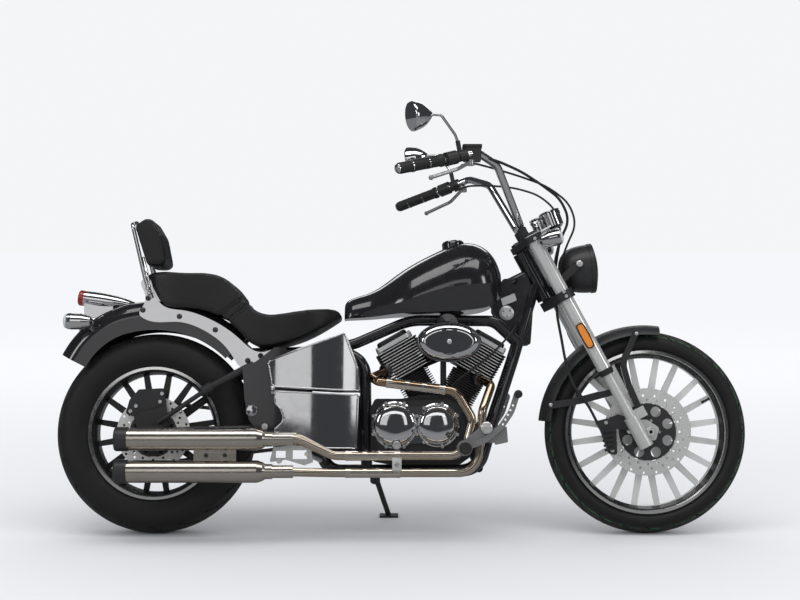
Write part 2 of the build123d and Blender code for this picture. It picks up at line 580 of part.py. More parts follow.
panel_studs = cross(650, 560, 96, panel_y + 12, 16) + cross(655, 330, 86, panel_y + 10, 16) \
    + cross(470, 540, panel_y, panel_y + 17, 16) + cross(470, 420, panel_y, panel_y + 14, 16)
parts["side_covers"] = pair(panel(upper_panel, 24) + panel(lower_panel, 20) + panel_studs) - parts["frame"]

# ---- foot controls and pegs ---------------------------------------------
hub, arm_pivot, pedal = (1011, 282), (1081, 346), (1178, 452)
control_y = 200.0
pedal_arm = strap([hub, (1075, 306), (1128, 350), (1160, 396), pedal], [60, 60, 90], 19,
                  control_y, control_y + 8)
for i in range(5):
    pedal_arm = pedal_arm - cross(1133 + 8 * i, 357 + 15 * i, control_y - 1, control_y + 9, 7)
web = hull_plate([(*hub, 20), (*arm_pivot, 15)], control_y - 8, control_y)
controls = fuse([pedal_arm, web, cross(*hub, control_y - 8, control_y + 14, 50),
                 cross(*arm_pivot, control_y - 8, control_y + 14, 34),
                 cross(*pedal, control_y, control_y + 56, 16),
                 slab([(1108, 291), (1150, 300), (1146, 350), (1104, 346)], control_y - 14, control_y - 8, 4),
                 slab([(1040, 300), (1120, 300), (1120, 340), (1060, 340)], control_y - 14, control_y - 8, 4),
                 block(1088, 1124, 80, control_y - 8, 298, 334)])
parts["foot_controls"] = pair(controls) - parts["frame"] - parts["exhaust_pipes"]
peg = turned((hub[0], control_y + 14, hub[1]), (hub[0], control_y + 100, hub[1]),
             [(0, 12), (8, 12), (8.01, 18), (78, 19), (84, 16)])
pedal_pad = turned((pedal[0], control_y + 56, pedal[1]), (pedal[0], control_y + 70, pedal[1]),
                   [(0, 13), (9, 13), (12, 9)])
parts["footpegs"] = pair(peg + pedal_pad)

# ---- rear brake and ignition switch -------------------------------------
carrier = slab([(-40, 310), (-62, 392), (-30, 420), (44, 424), (54, 372), (36, 306)], -105, -99, 8)
caliper = slab([(-86, 392), (-74, 436), (-44, 470), (34, 474), (44, 424), (8, 410), (-40, 404), (-62, 382)],
               -107, -85, 6)
parts["rear_caliper"] = (carrier + caliper) - parts["swingarm"] - cross(0, rear_radius, -110, -80, 37)
key = near_head(-121, -36, -76)
parts["key_switch"] = fuse([turned(key, (key[0], key[1] - 14, key[2]), [(0, 24), (6, 24), (9, 18), (14, 17)]),
                            slab([(1140, 772), (1186, 790), (1193, 766), (1147, 748)], -39, -36)])

# ---- fork and steering --------------------------------------------------
yoke_low, yoke_high = (-66.0, head_low - 6), (head_high + 5, 172.0)
fork_tube_d, stanchion_d, lug_d = 46.0, 35.0, 48.0
tube_end, leg_lug = axle_s + 242, axle_s + 72


def yoke(s0, s1, boss_d, eye_d):
    circles = [(0, 0, boss_d / 2), (fork_offset, leg_y, eye_d / 2), (fork_offset, -leg_y, eye_d / 2)]
    edges = [e for f, y, r in circles for e in (Pos(f, y) * Circle(r)).edges()]
    return fork_plane * Pos(0, 0, s0) * extrude(make_hull(edges), amount=s1 - s0)


stem = rod(fork(yoke_low[0], 0, 0), fork(yoke_high[1], 0, 0), stem_d)
risers = pair(rod(fork(yoke_high[1] - 2, 52, 32), fork(214, 52, 32), 32))
parts["fork_tubes"] = pair(rod(fork(tube_end, leg_y, fork_offset),
                               fork(yoke_high[1] + 4, leg_y, fork_offset), fork_tube_d))
parts["yokes"] = fuse([stem, yoke(*yoke_low, 54, 66), yoke(*yoke_high, 54, 64), risers]) - parts["fork_tubes"]
leg = rod(fork(leg_lug, leg_y, fork_offset), fork(tube_end, leg_y, fork_offset), stanchion_d) \
    + rod(fork(axle_s - 37, leg_y, fork_offset), fork(leg_lug, leg_y, fork_offset), lug_d)
ax, az = front_axle[0], front_axle[2]
ear = slab([(ax - 77, az - 2), (ax + 20, az - 30), (ax + 32, az + 14), (ax - 8, az + 40), (ax - 57, az + 40)],
           leg_y - 19, leg_y - 8, 10)
collars = cross(ax, az, 8 - leg_y, front_disc_face - 5.5, 34) + cross(ax, az, front_half + 0.5, leg_y - 8, 34)
fender_ears = pair(fork_block(axle_s + 52, axle_s + 86, leg_y - 13, leg_y + 3, 40, 98))
axle_end = leg_y + 21
front_axle_rod = cross(ax, az, -axle_end, axle_end, axle_d)
parts["fork_legs"] = fuse([pair(leg), pair(ear), fender_ears, front_axle_rod, collars]) \
    - cross(ax, az, -axle_end - 14, axle_end + 14, front_axle_bore)

bar_d = 25.4
bar_points = [(-474, 400, 346), (-336, 318, 387), (-228, 262, 422), (-160, 196, 390), (-75, 66, 210)]
bar_side = [near_head(*p) for p in bar_points]
bar_far = [(x, -y, z) for x, y, z in reversed(bar_side)]
parts["handlebar"] = bent(bar_side + bar_far, [70, 40, 60, 28, 28, 60, 40, 70], bar_d) - parts["yokes"]


def on_bar(i, t, lift=0.0):
    # between corners i and i + 1 of the bar's left half
    a, b = bar_side[i], bar_side[i + 1]
    return tuple(p + t * (q - p) + d for p, q, d in zip(a, b, (0, 0, lift)))


grip = turned(on_bar(0, -0.04), on_bar(0, 1), [(0, 16.5), (12, 17.5), (150, 16.5), (156, 20), (160, 20)])
parts["grips"] = pair(grip) - parts["handlebar"]
switch_drum = rod(on_bar(1, 0.05), on_bar(1, 0.36), 44)
perch = rod(on_bar(1, 0.42), on_bar(1, 0.66), 36) + rod(on_bar(1, 0.6), near_head(-250, 268, 396), 20)
reservoir = block(-272, -216, -284, -222, 396, 436, 8) + block(-275, -213, -287, -219, 436, 444, 9)
mirror_post = rod(on_bar(1, 0.5), near_head(-292, 296, 452), 15)
parts["hand_controls"] = fuse([pair(switch_drum), pair(perch), pair(mirror_post),
                               Pos(*near_head(0, 0, 0)) * reservoir]) - parts["handlebar"] - parts["grips"]
lever = bent([near_head(-252, 270, 388), near_head(-292, 344, 354), near_head(-376, 386, 320)], [34], 12)
lever_tip = Pos(*near_head(-378, 387, 319)) * Sphere(8)
lever_eye = rod(near_head(-250, 268, 378), near_head(-250, 268, 398), 26)
parts["hand_levers"] = pair(lever + lever_tip + lever_eye) - parts["handlebar"] - parts["hand_controls"]
mirror_apex, mirror_glass_at = near_head(-376, 352, 525), near_head(-441, 378, 513)
mirror_stem = bent([near_head(-292, 296, 450), near_head(-300, 304, 470), near_head(-345, 346, 524),
                    mirror_apex], [20, 12], 9)
cup = turned(mirror_apex, mirror_glass_at,
             [(0, 9), (10, 20), (34, 38), (58, 46), (68, 47), (71, 44)], smooth=True)
glass_seat = turned(mirror_glass_at, mirror_apex, [(-3, 42.5), (3, 42.5)])
parts["mirrors"] = pair(mirror_stem + (cup - glass_seat)) - parts["handlebar"] - parts["hand_controls"] \
    - parts["hand_levers"]
parts["mirror_glass"] = pair(turned(mirror_glass_at, mirror_apex, [(0, 42.3), (3, 42.3)]))

# headlamp: a hollow bowl on two arms, closed by its lens
lamp_a, lamp_b = near_head(58, 0, 65.5), near_head(166, 0, 77)
bowl = turned(lamp_a, lamp_b, [(0, 20), (8, 44), (28, 66), (60, 77), (96, 80.5), (108.6, 80.5)], smooth=True)
cavity = turned(lamp_a, lamp_b, [(10, 12), (16, 34), (34, 56), (64, 69), (96, 75), (110, 76)], smooth=True)
lamp_arm = rod(near_head(117, 66, 84), near_head(117, 86, 84), 26) \
    + strap([(head_x + 117, head_z + 84), (head_x + 76, head_z + 48), (head_x + 36, head_z + 2)],
            [40], 24, 78, 84)
parts["headlamp"] = (bowl - cavity + pair(lamp_arm)) - parts["yokes"] - parts["fork_tubes"]
parts["headlamp_lens"] = turned(lamp_b, near_head(186, 0, 79.1),
                                [(0.25, 80), (6, 80), (10, 70), (16, 45), (19, 4)])
dial = [(0, 24), (8, 33), (42, 33), (43, 35), (54, 35)]
small_dial = [(r * 0.86, d * 0.88) for r, d in dial]
gauge_plate = fork_block(172, 177, -70, 70, 36, 150)
parts["gauges"] = (turned(near_head(42, -40, 206), near_head(22, -40, 260), dial)
                   + turned(near_head(12, 44, 202), near_head(-8, 44, 252), small_dial)
                   + gauge_plate) - parts["handlebar"] - parts["yokes"]
signal_at = near_head(-22, 150, 150)
front_signal = fuse([turned(signal_at, near_head(48, 150, 165),
                            [(0, 8), (8, 17), (30, 25), (58, 27), (68, 26), (72, 20)]),
                     rod(near_head(14, 100, 152), near_head(14, 150, 158), 14),
                     rod(fork(158, 98, 70), near_head(14, 104, 152), 16)])
parts["front_signals"] = pair(front_signal) - parts["yokes"] - parts["fork_tubes"]

# ---- front fender -------------------------------------------------------
fender_out, fender_y = front_radius + 22, front_half + 12
skin_t, skirt = 4.0, 34.0
section = make_face([ThreePointArc((fender_out - skirt, -fender_y), (fender_out, 0),
                                   (fender_out - skirt, fender_y)),
                     Line((fender_out - skirt, fender_y), (fender_out - skirt, fender_y - skin_t)),
                     ThreePointArc((fender_out - skirt, fender_y - skin_t), (fender_out - skin_t, 0),
                                   (fender_out - skirt, skin_t - fender_y)),
                     Line((fender_out - skirt, skin_t - fender_y), (fender_out - skirt, -fender_y))])
fender_from, fender_to = 82, 174       # degrees round the front axle
fender_f = Pos(ax, 0, az) * Rot(0, -fender_to, 0) * revolve(section, axis=Axis.Y,
                                                            revolution_arc=fender_to - fender_from)
stay_y, stay_end = (fender_y + 1, fender_y + 7), (fender_y - 3, fender_y + 8)
stays = pair(fuse([strap([(ax - 34, az + 330), (ax - 80, az + 224), (ax - 60, az + 150), (ax - 22, az + 62)],
                         [60, 60], 20, *stay_y),
                   strap([(ax - 322, az + 86), (ax - 220, az + 102), (ax - 116, az + 130)],
                         [200], 22, *stay_y),
                   cross(ax - 34, az + 322, *stay_end, 14),
                   cross(ax - 318, az + 88, *stay_end, 14),
                   cross(ax - 120, az + 126, fender_y, leg_y - 9, 12),
                   cross(ax - 27, az + 68, fender_y, leg_y - 13, 12)]))
parts["front_fender"] = (fender_f + stays) - parts["fork_tubes"] - parts["fork_legs"]
reflector = fork_block(-242, -154, leg_y + 24, leg_y + 29, 26, 50) \
    + rod(fork(-198, leg_y + 21, 40), fork(-198, leg_y + 24, 40), 12)
parts["reflectors"] = pair(reflector) - parts["fork_tubes"]
caliper_f = slab([(ax - 176, az + 34), (ax - 158, az + 4), (ax - 132, az - 70), (ax - 106, az - 76),
                  (ax - 108, az + 20), (ax - 134, az + 44)], -100, -72, 8)
ribs = [slab([(ax - 160 + 3 * i, az + 4 - 15 * i), (ax - 118, az + 10 - 15 * i), (ax - 118, az + 3 - 15 * i),
              (ax - 158 + 3 * i, az - 4 - 15 * i)], -106, -99) for i in range(5)]
caliper_arm = slab([(ax - 134, az + 44), (ax - 112, az + 10), (ax - 80, az + 8), (ax - 40, az - 4),
                    (ax - 30, az + 20), (ax - 68, az + 44), (ax - 100, az + 58)], -99, -88, 6)
parts["front_caliper"] = fuse([caliper_f, caliper_arm] + ribs) - parts["fork_legs"]

# ---- cables and hoses ---------------------------------------------------
cable_d, hose_d = 7.0, 9.0
clutch_cable = cord([near_head(*p) for p in [
    (-278, 262, 380), (-238, 222, 392), (-170, 160, 384), (-80, 100, 366), (0, 62, 334), (56, 46, 280),
    (72, 42, 200), (56, 38, 110), (44, 36, 30), (46, 36, -18)]], cable_d)
throttle_cable = cord([near_head(*p) for p in [
    (-278, -262, 380), (-238, -222, 394), (-170, -160, 388), (-76, -104, 370), (14, -78, 342), (86, -76, 286),
    (108, -82, 214), (74, -70, 140), (50, -50, 60), (46, -38, -18)]], cable_d)
brake_line = cord([near_head(*p) for p in [
    (-216, -250, 410), (-160, -224, 400), (-80, -150, 380), (0, -50, 350), (66, -4, 310), (96, 4, 240),
    (62, 2, 170), (40, -2, 80), (48, -8, -20)]], hose_d)
brake_hose = cord([near_head(*p) for p in [
    (42, -60, -40), (44, -64, -90), (56, -72, -160), (68, -80, -240), (92, -84, -320), (140, -86, -380),
    (170, -86, -440)]], hose_d)
choke_cable = cord([(1196, -37, 690), (1172, -88, 656), (1112, -112, 590), (1044, -120, 536),
                    (984, -118, 496), (952, -104, 444)], cable_d)
cables = fuse([clutch_cable, throttle_cable]) - parts["hand_controls"] - parts["yokes"] - parts["hand_levers"]
parts["control_cables"] = cables - parts["handlebar"] - parts["gauges"]
parts["brake_hoses"] = fuse([brake_line, brake_hose]) - parts["hand_controls"] - parts["yokes"] \
    - parts["front_caliper"] - parts["handlebar"] - parts["fork_tubes"] - parts["control_cables"]
parts["choke_cable"] = choke_cable - parts["frame"] - parts["crankcase"] - parts["barrels"] \
    - parts["cylinder_heads"]


# ---- side stand ---------------------------------------------------------
def lean_over(shape):
    return Pos(0, 0, crown_lift) * Rot(-lean, 0, 0) * shape


def stand_up(shape):
    return Rot(lean, 0, 0) * Pos(0, 0, -crown_lift) * shape


foot_x, foot_y, foot_t = 765.0, 264.0, 6.0          # on the ground, parked
ground_z = (foot_y * sin(radians(lean)) - crown_lift) / cos(radians(lean))
foot = (foot_x, foot_y, ground_z + 8)
foot_pad = stand_up(block(foot_x - 30, foot_x + 34, foot_y - 22, foot_y + 28, 0, foot_t))
eye = rod(on_stand_axis(-stand_eye_half), on_stand_axis(stand_eye_half), stand_eye_d)
pin_hole = rod(on_stand_axis(-40), on_stand_axis(40), stand_pin_d + 2 * running_gap)
parts["side_stand"] = fuse([rod(stand_pivot, foot, 18), foot_pad, eye]) - pin_hole


# ---- placing ------------------------------------------------------------
whole = Compound(children=[lean_over(s) for s in parts.values()]).bounding_box()
centre = ((whole.min.X + whole.max.X) / 2, (whole.min.Y + whole.max.Y) / 2, whole.min.Z)


def place(shape):
    return Pos(-centre[0], -centre[1], -centre[2]) * lean_over(shape)


if __name__ == "__main__":
    os.makedirs("parts", exist_ok=True)
    for name, shape in parts.items():
        export_step(place(shape), "parts/" + name + ".step")
    print("cord diameters and bend radii", cord_radii)
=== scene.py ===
import bpy
import math
from mathutils import Matrix, Vector


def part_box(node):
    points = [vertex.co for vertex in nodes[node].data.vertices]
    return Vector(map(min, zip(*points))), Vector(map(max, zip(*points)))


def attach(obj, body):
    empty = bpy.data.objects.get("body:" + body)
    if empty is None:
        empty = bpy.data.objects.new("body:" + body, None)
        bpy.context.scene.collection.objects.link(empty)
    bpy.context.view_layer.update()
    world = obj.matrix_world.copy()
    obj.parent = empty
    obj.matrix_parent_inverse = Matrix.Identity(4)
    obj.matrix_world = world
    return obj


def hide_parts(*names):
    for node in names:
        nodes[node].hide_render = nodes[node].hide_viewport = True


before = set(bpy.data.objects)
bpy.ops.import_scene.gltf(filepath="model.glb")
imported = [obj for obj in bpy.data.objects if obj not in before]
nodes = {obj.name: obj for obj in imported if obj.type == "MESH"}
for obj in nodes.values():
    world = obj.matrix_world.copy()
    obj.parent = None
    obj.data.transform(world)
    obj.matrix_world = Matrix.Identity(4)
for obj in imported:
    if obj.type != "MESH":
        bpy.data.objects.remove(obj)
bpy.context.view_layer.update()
bpy.ops.object.select_all(action="DESELECT")
print("frame loaded", len(nodes))

# the motorcycle's own frame, mm: X forward from the rear axle, Y left, Z up, before it leans on its stand
bike = {"lean": 8.0, "rearAxle": (0, 0, 328), "head": (1280, 0, 800), "rake": 28.1,
        "forkY": 105, "forkOut": 45, "crank": (940, 0, 352), "tilt": 29.5}
tyreLow, tyreHigh = [Vector(corner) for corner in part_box("rear_tyre")]
leanTurn = Matrix.Rotation(math.radians(-bike["lean"]), 4, "X")
leanMatrix = Matrix.Translation((tyreLow + tyreHigh) / 2) @ leanTurn \
    @ Matrix.Translation(-Vector(bike["rearAxle"]) / 1000)
frontLow, frontHigh = [Vector(corner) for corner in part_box("front_tyre")]
frontAxle = leanMatrix.inverted() @ ((frontLow + frontHigh) / 2) * 1000
bike["frontAxle"] = tuple(round(c, 2) for c in frontAxle)
axleWay = leanTurn @ Vector((0, 1, 0))


def parked(x, y, z):
    # a point of the motorcycle, mm, as a place in the scene
    return leanMatrix @ Vector((x / 1000, y / 1000, z / 1000))


def onFork(s, y, f):
    # s up along the steering axis, f ahead of it
    rake = math.radians(bike["rake"])
    x, _, z = bike["head"]
    return (x - s * math.sin(rake) + f * math.cos(rake), y, z + s * math.cos(rake) + f * math.sin(rake))


def nearHead(x, y, z):
    return (bike["head"][0] + x, y, bike["head"][2] + z)


def onCylinder(sign, x, y, s):
    # s up along a cylinder, x across it; sign -1 is the rear one
    tilt = math.radians(sign * bike["tilt"])
    cx, _, cz = bike["crank"]
    return (cx + x * math.cos(tilt) + s * math.sin(tilt), y, cz - x * math.sin(tilt) + s * math.cos(tilt))


def around(centre, r, degrees, y=0.0):
    turn = math.radians(degrees)
    return (centre[0] + r * math.cos(turn), y, centre[2] + r * math.sin(turn))


def bothSides(points):
    return [(x, side * y, z) for x, y, z in points for side in (-1, 1)]


def posed(at, way=(0, -1, 0)):
    # where a piece's own Z takes a direction of the motorcycle from one of its points
    spin = Vector(way).to_track_quat("Z", "Y").to_matrix().to_4x4()
    return leanMatrix @ Matrix.Translation(Vector(at) / 1000) @ spin


def outward(points):
    # places on both sides of the motorcycle, each facing away from its middle
    return [posed(p, (0, math.copysign(1, p[1]), 0)) for p in bothSides(points)]


# modelling by hand, as small steps
def pickOnly(*pieces):
    bpy.ops.object.select_all(action="DESELECT")
    for piece in pieces:
        piece.select_set(True)
    bpy.context.view_layer.objects.active = pieces[0]


def settle(piece):
    pickOnly(piece)
    bpy.ops.object.transform_apply(location=True, rotation=True, scale=True)
    return piece


def smooth(piece, angle=35):
    pickOnly(piece)
    bpy.ops.object.shade_smooth_by_angle(angle=math.radians(angle))


def edited(step, **settings):
    # one edit-mode operator on the whole of the active mesh
    bpy.ops.object.mode_set(mode="EDIT")
    bpy.ops.mesh.select_all(action="SELECT")
    step(**settings)
    bpy.ops.object.mode_set(mode="OBJECT")


def nothingPicked(kind):
    # picking starts again, by faces or by points
    bpy.ops.object.mode_set(mode="EDIT")
    bpy.ops.mesh.select_all(action="DESELECT")
    bpy.ops.mesh.select_mode(type=kind)
    bpy.ops.object.mode_set(mode="OBJECT")


def tidyMesh(piece):
    pickOnly(piece)
    bpy.ops.object.mode_set(mode="EDIT")
    bpy.ops.mesh.select_all(action="SELECT")
    bpy.ops.mesh.remove_doubles(threshold=0.00002)
    bpy.ops.mesh.normals_make_consistent(inside=False)
    bpy.ops.object.mode_set(mode="OBJECT")


def turnedPiece(rows, steps=24, closed=True):
    # rows of (height, radius), mm: a circle that is extruded and scaled from row to row
    bpy.ops.object.select_all(action="DESELECT")
    height, r = rows[0]
    bpy.ops.mesh.primitive_circle_add(vertices=steps, radius=r / 1000, location=(0, 0, height / 1000),
                                      fill_type="NGON" if closed else "NOTHING")
    piece = bpy.context.object
    bpy.ops.object.mode_set(mode="EDIT")
    bpy.ops.mesh.select_mode(type="VERT")
    bpy.ops.mesh.select_all(action="SELECT")
    for nextHeight, nextR in rows[1:]:
        rise = (0, 0, (nextHeight - height) / 1000)
        bpy.ops.mesh.extrude_region_move(TRANSFORM_OT_translate={"value": rise})
        bpy.ops.transform.resize(value=(nextR / r, nextR / r, 1), center_override=(0, 0, nextHeight / 1000))
        height, r = nextHeight, nextR
    bpy.ops.object.mode_set(mode="OBJECT")
    tidyMesh(piece)
    settle(piece)
    smooth(piece)
    return piece


def boxPiece(size, bevel):
    bpy.ops.object.select_all(action="DESELECT")
    bpy.ops.mesh.primitive_cube_add(size=1.0)
    piece = bpy.context.object
    piece.scale = [s / 1000 for s in size]
    settle(piece)
    if bevel:
        edited(bpy.ops.mesh.bevel, offset=bevel / 1000, segments=2, affect="EDGES")
    smooth(piece)
    return piece


def tubePiece(points, diameter):
    # a closed curve through points of the motorcycle, given a round section and made a mesh
    curve = bpy.data.curves.new("tube", "CURVE")
    curve.dimensions = "3D"
    curve.bevel_depth = diameter / 2000
    curve.bevel_resolution = 2
    curve.resolution_u = 6
    line = curve.splines.new("BEZIER")
    line.bezier_points.add(len(points) - 1)
    line.use_cyclic_u = True
    for knot, point in zip(line.bezier_points, points):
        knot.co = parked(*point)
        knot.handle_left_type = knot.handle_right_type = "AUTO"
    piece = bpy.data.objects.new("tube", curve)
    bpy.context.scene.collection.objects.link(piece)
    pickOnly(piece)
    bpy.ops.object.convert(target="MESH")
    piece = bpy.context.object
    settle(piece)
    smooth(piece, 60)
    return piece


def copied(piece, places, name, paint, body, replaces=()):
    # the modelled piece goes to every place, each copy with its own mesh, and the copies are joined
    twins = []
    for place in places:
        twin = piece.copy()
        twin.data = piece.data.copy()
        bpy.context.scene.collection.objects.link(twin)
        twin.matrix_world = place
        twins.append(twin)
    bpy.data.objects.remove(piece)
    for twin in twins:
        settle(twin)
    pickOnly(*twins)
    if len(twins) > 1:
        bpy.ops.object.join()
    made = bpy.context.object
    made.name = name
    return dressed(made, paint, body, replaces)


def dressed(piece, paint, body, replaces=()):
    # a finish, the body it rides on and the nodes it stands for
    piece.data.materials.clear()
    piece.data.materials.append(finish[paint].material)
    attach(piece, body)
    if replaces:
        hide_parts(*replaces)
    return piece


def joined(name, pieces, paint, body):
    pickOnly(*pieces)
    bpy.ops.object.join()
    made = bpy.context.object
    made.name = name
    return dressed(made, paint, body)


cloudSpan = (0.3, 0.7)  # most of a noise lies between these


class Sock:
    # a socket of a material's tree, so that shader maths reads as plain expressions
    def __init__(self, paint, out):
        self.paint, self.out = paint, out

    def maths(self, operation, *values):
        return self.paint.add("ShaderNodeMath", {"operation": operation}, *values)

    def __add__(self, other):
        return self.maths("ADD", self, other)

    def __sub__(self, other):
        return self.maths("SUBTRACT", self, other)

    def __rsub__(self, other):
        return self.maths("SUBTRACT", other, self)

    def __mul__(self, other):
        return self.maths("MULTIPLY", self, other)

    def __rmul__(self, other):
        return self.maths("MULTIPLY", other, self)

    def __gt__(self, other):
        return self.maths("GREATER_THAN", self, other)

    def __lt__(self, other):
        return self.maths("LESS_THAN", self, other)

    def __abs__(self):
        return self.maths("ABSOLUTE", self)

    def most(self, other):
        return self.maths("MAXIMUM", self, other)

    def wave(self):
        return self.maths("SINE", self)


class Paint:
    # one material; add() makes any node: its type, its settings, then its inputs by order or by name
    def __init__(self, name, **shader):
        self.material = bpy.data.materials.new(name)
        self.material.use_nodes = True
        self.tree = self.material.node_tree
        self.shader = self.tree.nodes["Principled BSDF"]
        self.coords = self.tree.nodes.new("ShaderNodeTexCoord")
        for key, value in shader.items():
            self.put(key.replace("_", " "), value)

    def feed(self, target, value):
        # a link, or a plain value, for one input
        if isinstance(value, Sock):
            self.tree.links.new(value.out, target)
        elif value is not None:
            if target.type == "RGBA" and len(value) == 3:
                value = (*value, 1.0)
            target.default_value = value

    def put(self, socket, value):
        self.feed(self.shader.inputs[socket], value)

    def add(self, kind, settings, *ordered, want=0, **named):
        node = self.tree.nodes.new(kind)
        for key, value in settings.items():
            setattr(node, key, value)
        for key, value in [*enumerate(ordered), *named.items()]:
            self.feed(node.inputs[key], value)
        return Sock(self, node.outputs[want])

    def where(self):
        return Sock(self, self.coords.outputs["Object"])

    def noise(self, scale, detail=3.0, rough=0.5, at=None):
        return self.add("ShaderNodeTexNoise", {}, Vector=at or self.where(), Scale=scale, Detail=detail,
                        Roughness=rough)

    def mixColour(self, mask, colourA, colourB):
        # a Mix node's colours are its sockets 6 and 7
        between = [None] * 5
        return self.add("ShaderNodeMix", {"data_type": "RGBA"}, mask, *between, colourA, colourB, want=2)

    def mapped(self, value, low, high, outLow=0.0, outHigh=1.0):
        return self.add("ShaderNodeMapRange", {"clamp": True}, value, low, high, outLow, outHigh)

    def clouded(self, cloud, low, high):
        # a value that follows a noise
        return self.mapped(cloud, *cloudSpan, low, high)

    def mottled(self, cloud, colour, share, tint=None):
        # a colour that drifts toward a paler or darker share of itself
        tint = tint or tuple(c * share for c in colour)
        self.put("Base Color", self.mixColour(cloud, colour, tint))

    def bump(self, height, strength, distance):
        made = self.add("ShaderNodeBump", {}, Strength=strength, Distance=distance, Height=height)
        self.put("Normal", made)

    def along(self, origin, way):
        # distance along a line through a place in the scene
        offset = self.add("ShaderNodeVectorMath", {"operation": "SUBTRACT"}, self.where(), tuple(origin))
        return self.add("ShaderNodeVectorMath", {"operation": "DOT_PRODUCT"}, offset, tuple(way), want=1)

    def radius(self, origin, way):
        # distance from such a line
        offset = self.add("ShaderNodeVectorMath", {"operation": "SUBTRACT"}, self.where(), tuple(origin))
        turned = self.add("ShaderNodeVectorMath", {"operation": "CROSS_PRODUCT"}, offset, tuple(way))
        return self.add("ShaderNodeVectorMath", {"operation": "LENGTH"}, turned, want=1)


# finishes
def worn(paint, low, high, scale):
    # slightly uneven polish
    cloud = paint.noise(scale, 4.0, 0.6)
    paint.put("Roughness", paint.clouded(cloud, low, high))
    return cloud


def glossBlackPaint(name, colour=(0.006, 0.006, 0.007)):
    paint = Paint(name, Coat_Weight=1.0, Coat_Roughness=0.03, Specular_IOR_Level=0.5)
    cloud = worn(paint, 0.12, 0.2, 25.0)
    paint.mottled(cloud, colour, 2.2)
    return paint


def satinBlackMetal(name, colour=(0.014, 0.014, 0.015), low=0.32, high=0.48, scale=90.0):
    paint = Paint(name, Specular_IOR_Level=0.5)
    cloud = worn(paint, low, high, scale)
    paint.mottled(cloud, colour, 1.8)
    paint.bump(paint.noise(900.0, 2.0), 0.08, 0.0004)
    return paint


def polishedMetal(name, colour=(0.83, 0.83, 0.84), low=0.04, high=0.09, scale=35.0, tint=None):
    paint = Paint(name, Metallic=1.0)
    cloud = worn(paint, low, high, scale)
    paint.mottled(cloud, colour, 0.93, tint)
    return paint


def brushedMetal(name, colour, way=(1, 0, 0), low=0.2, high=0.34, tint=None, metallic=1.0):
    paint = Paint(name, Metallic=metallic)
    stretch = [220.0 if abs(w) < 0.5 else 4.0 for w in way]
    placed = paint.add("ShaderNodeMapping", {}, Vector=paint.where(), Scale=tuple(stretch))
    streak = paint.noise(6.0, 4.0, 0.6, placed)
    cloud = paint.noise(14.0, 3.0)
    paint.put("Roughness", paint.clouded(streak, low, high))
    paint.mottled(cloud, colour, 0.86, tint)
    paint.bump(streak, 0.06, 0.0002)
    return paint


def castAlloy(name, colour=(0.46, 0.46, 0.46), metallic=1.0, low=0.3, high=0.45):
    paint = Paint(name, Metallic=metallic)
    cloud = worn(paint, low, high, 70.0)
    paint.mottled(cloud, colour, 0.8)
    paint.bump(paint.noise(1200.0, 2.0), 0.12, 0.0003)
    return paint


def blackRubber(name, colour=(0.017, 0.017, 0.018), rough=(0.5, 0.68)):
    paint = Paint(name, Specular_IOR_Level=0.4)
    cloud = worn(paint, rough[0], rough[1], 30.0)
    paint.mottled(cloud, colour, 1.7)
    paint.bump(paint.noise(700.0, 3.0), 0.12, 0.0004)
    return paint


def rimPaint(name, axle, wellColour, faceColour, bandFrom, spokeEdge, spokeColour):
    # machined band at the flange, a dark well, and spokes whose outer edges catch the light; mm
    paint = Paint(name, Specular_IOR_Level=0.5)
    origin = parked(*axle)
    r, y = paint.radius(origin, axleWay), abs(paint.along(origin, axleWay))
    bandInner, spokeGap, hub = 0.012, 12, 0.04
    band = (r > bandFrom / 1000) * (y > bandInner)
    spoke = (r < (bandFrom - spokeGap) / 1000) * (r > hub)
    edge = spoke * (y > spokeEdge / 1000)
    inner = paint.mixColour(spoke, wellColour, spokeColour)
    lit = paint.mixColour(edge, inner, faceColour)
    paint.put("Base Color", paint.mixColour(band, lit, faceColour))
    bright = band.most(edge)
    satin = 0.0
    if spokeColour[0] > 0.3:
        bright = bright.most(spoke)
        satin = spoke * 0.5
    paint.put("Metallic", bright - satin)
    cloud = paint.noise(50.0, 4.0, 0.6)
    paint.put("Roughness", paint.clouded(cloud, 0.1, 0.2) + 0.12 * (1.0 - bright) + satin * 0.5)
    return paint


def finPaint(name, reach, across, foot=190, edge=3):
    # cast black fins with bright cut edges on both cylinders; mm from the crank and the cylinders' axes
    paint = Paint(name, Specular_IOR_Level=0.45)
    crank = parked(*bike["crank"])
    side = abs(paint.along(crank, axleWay))
    cut = side > across / 1000
    for sign in (-1, 1):
        tilt = math.radians(sign * bike["tilt"])
        acrossWay = leanTurn @ Vector((math.cos(tilt), 0, -math.sin(tilt)))
        upWay = leanTurn @ Vector((math.sin(tilt), 0, math.cos(tilt)))
        x, s = paint.along(crank, acrossWay), paint.along(crank, upWay)
        here = (s > foot / 1000) * (abs(x) > reach / 1000) * (abs(x) < (reach + edge) / 1000)
        cut = cut.most(here)
    cloud = paint.noise(140.0, 4.0, 0.6)
    dark = paint.mixColour(cloud, (0.011, 0.011, 0.012), (0.024, 0.024, 0.025))
    paint.put("Base Color", paint.mixColour(cut, dark, (0.68, 0.68, 0.67)))
    paint.put("Metallic", cut * 0.6)
    paint.put("Roughness", paint.clouded(cloud, 0.38, 0.55) - 0.2 * cut)
    return paint


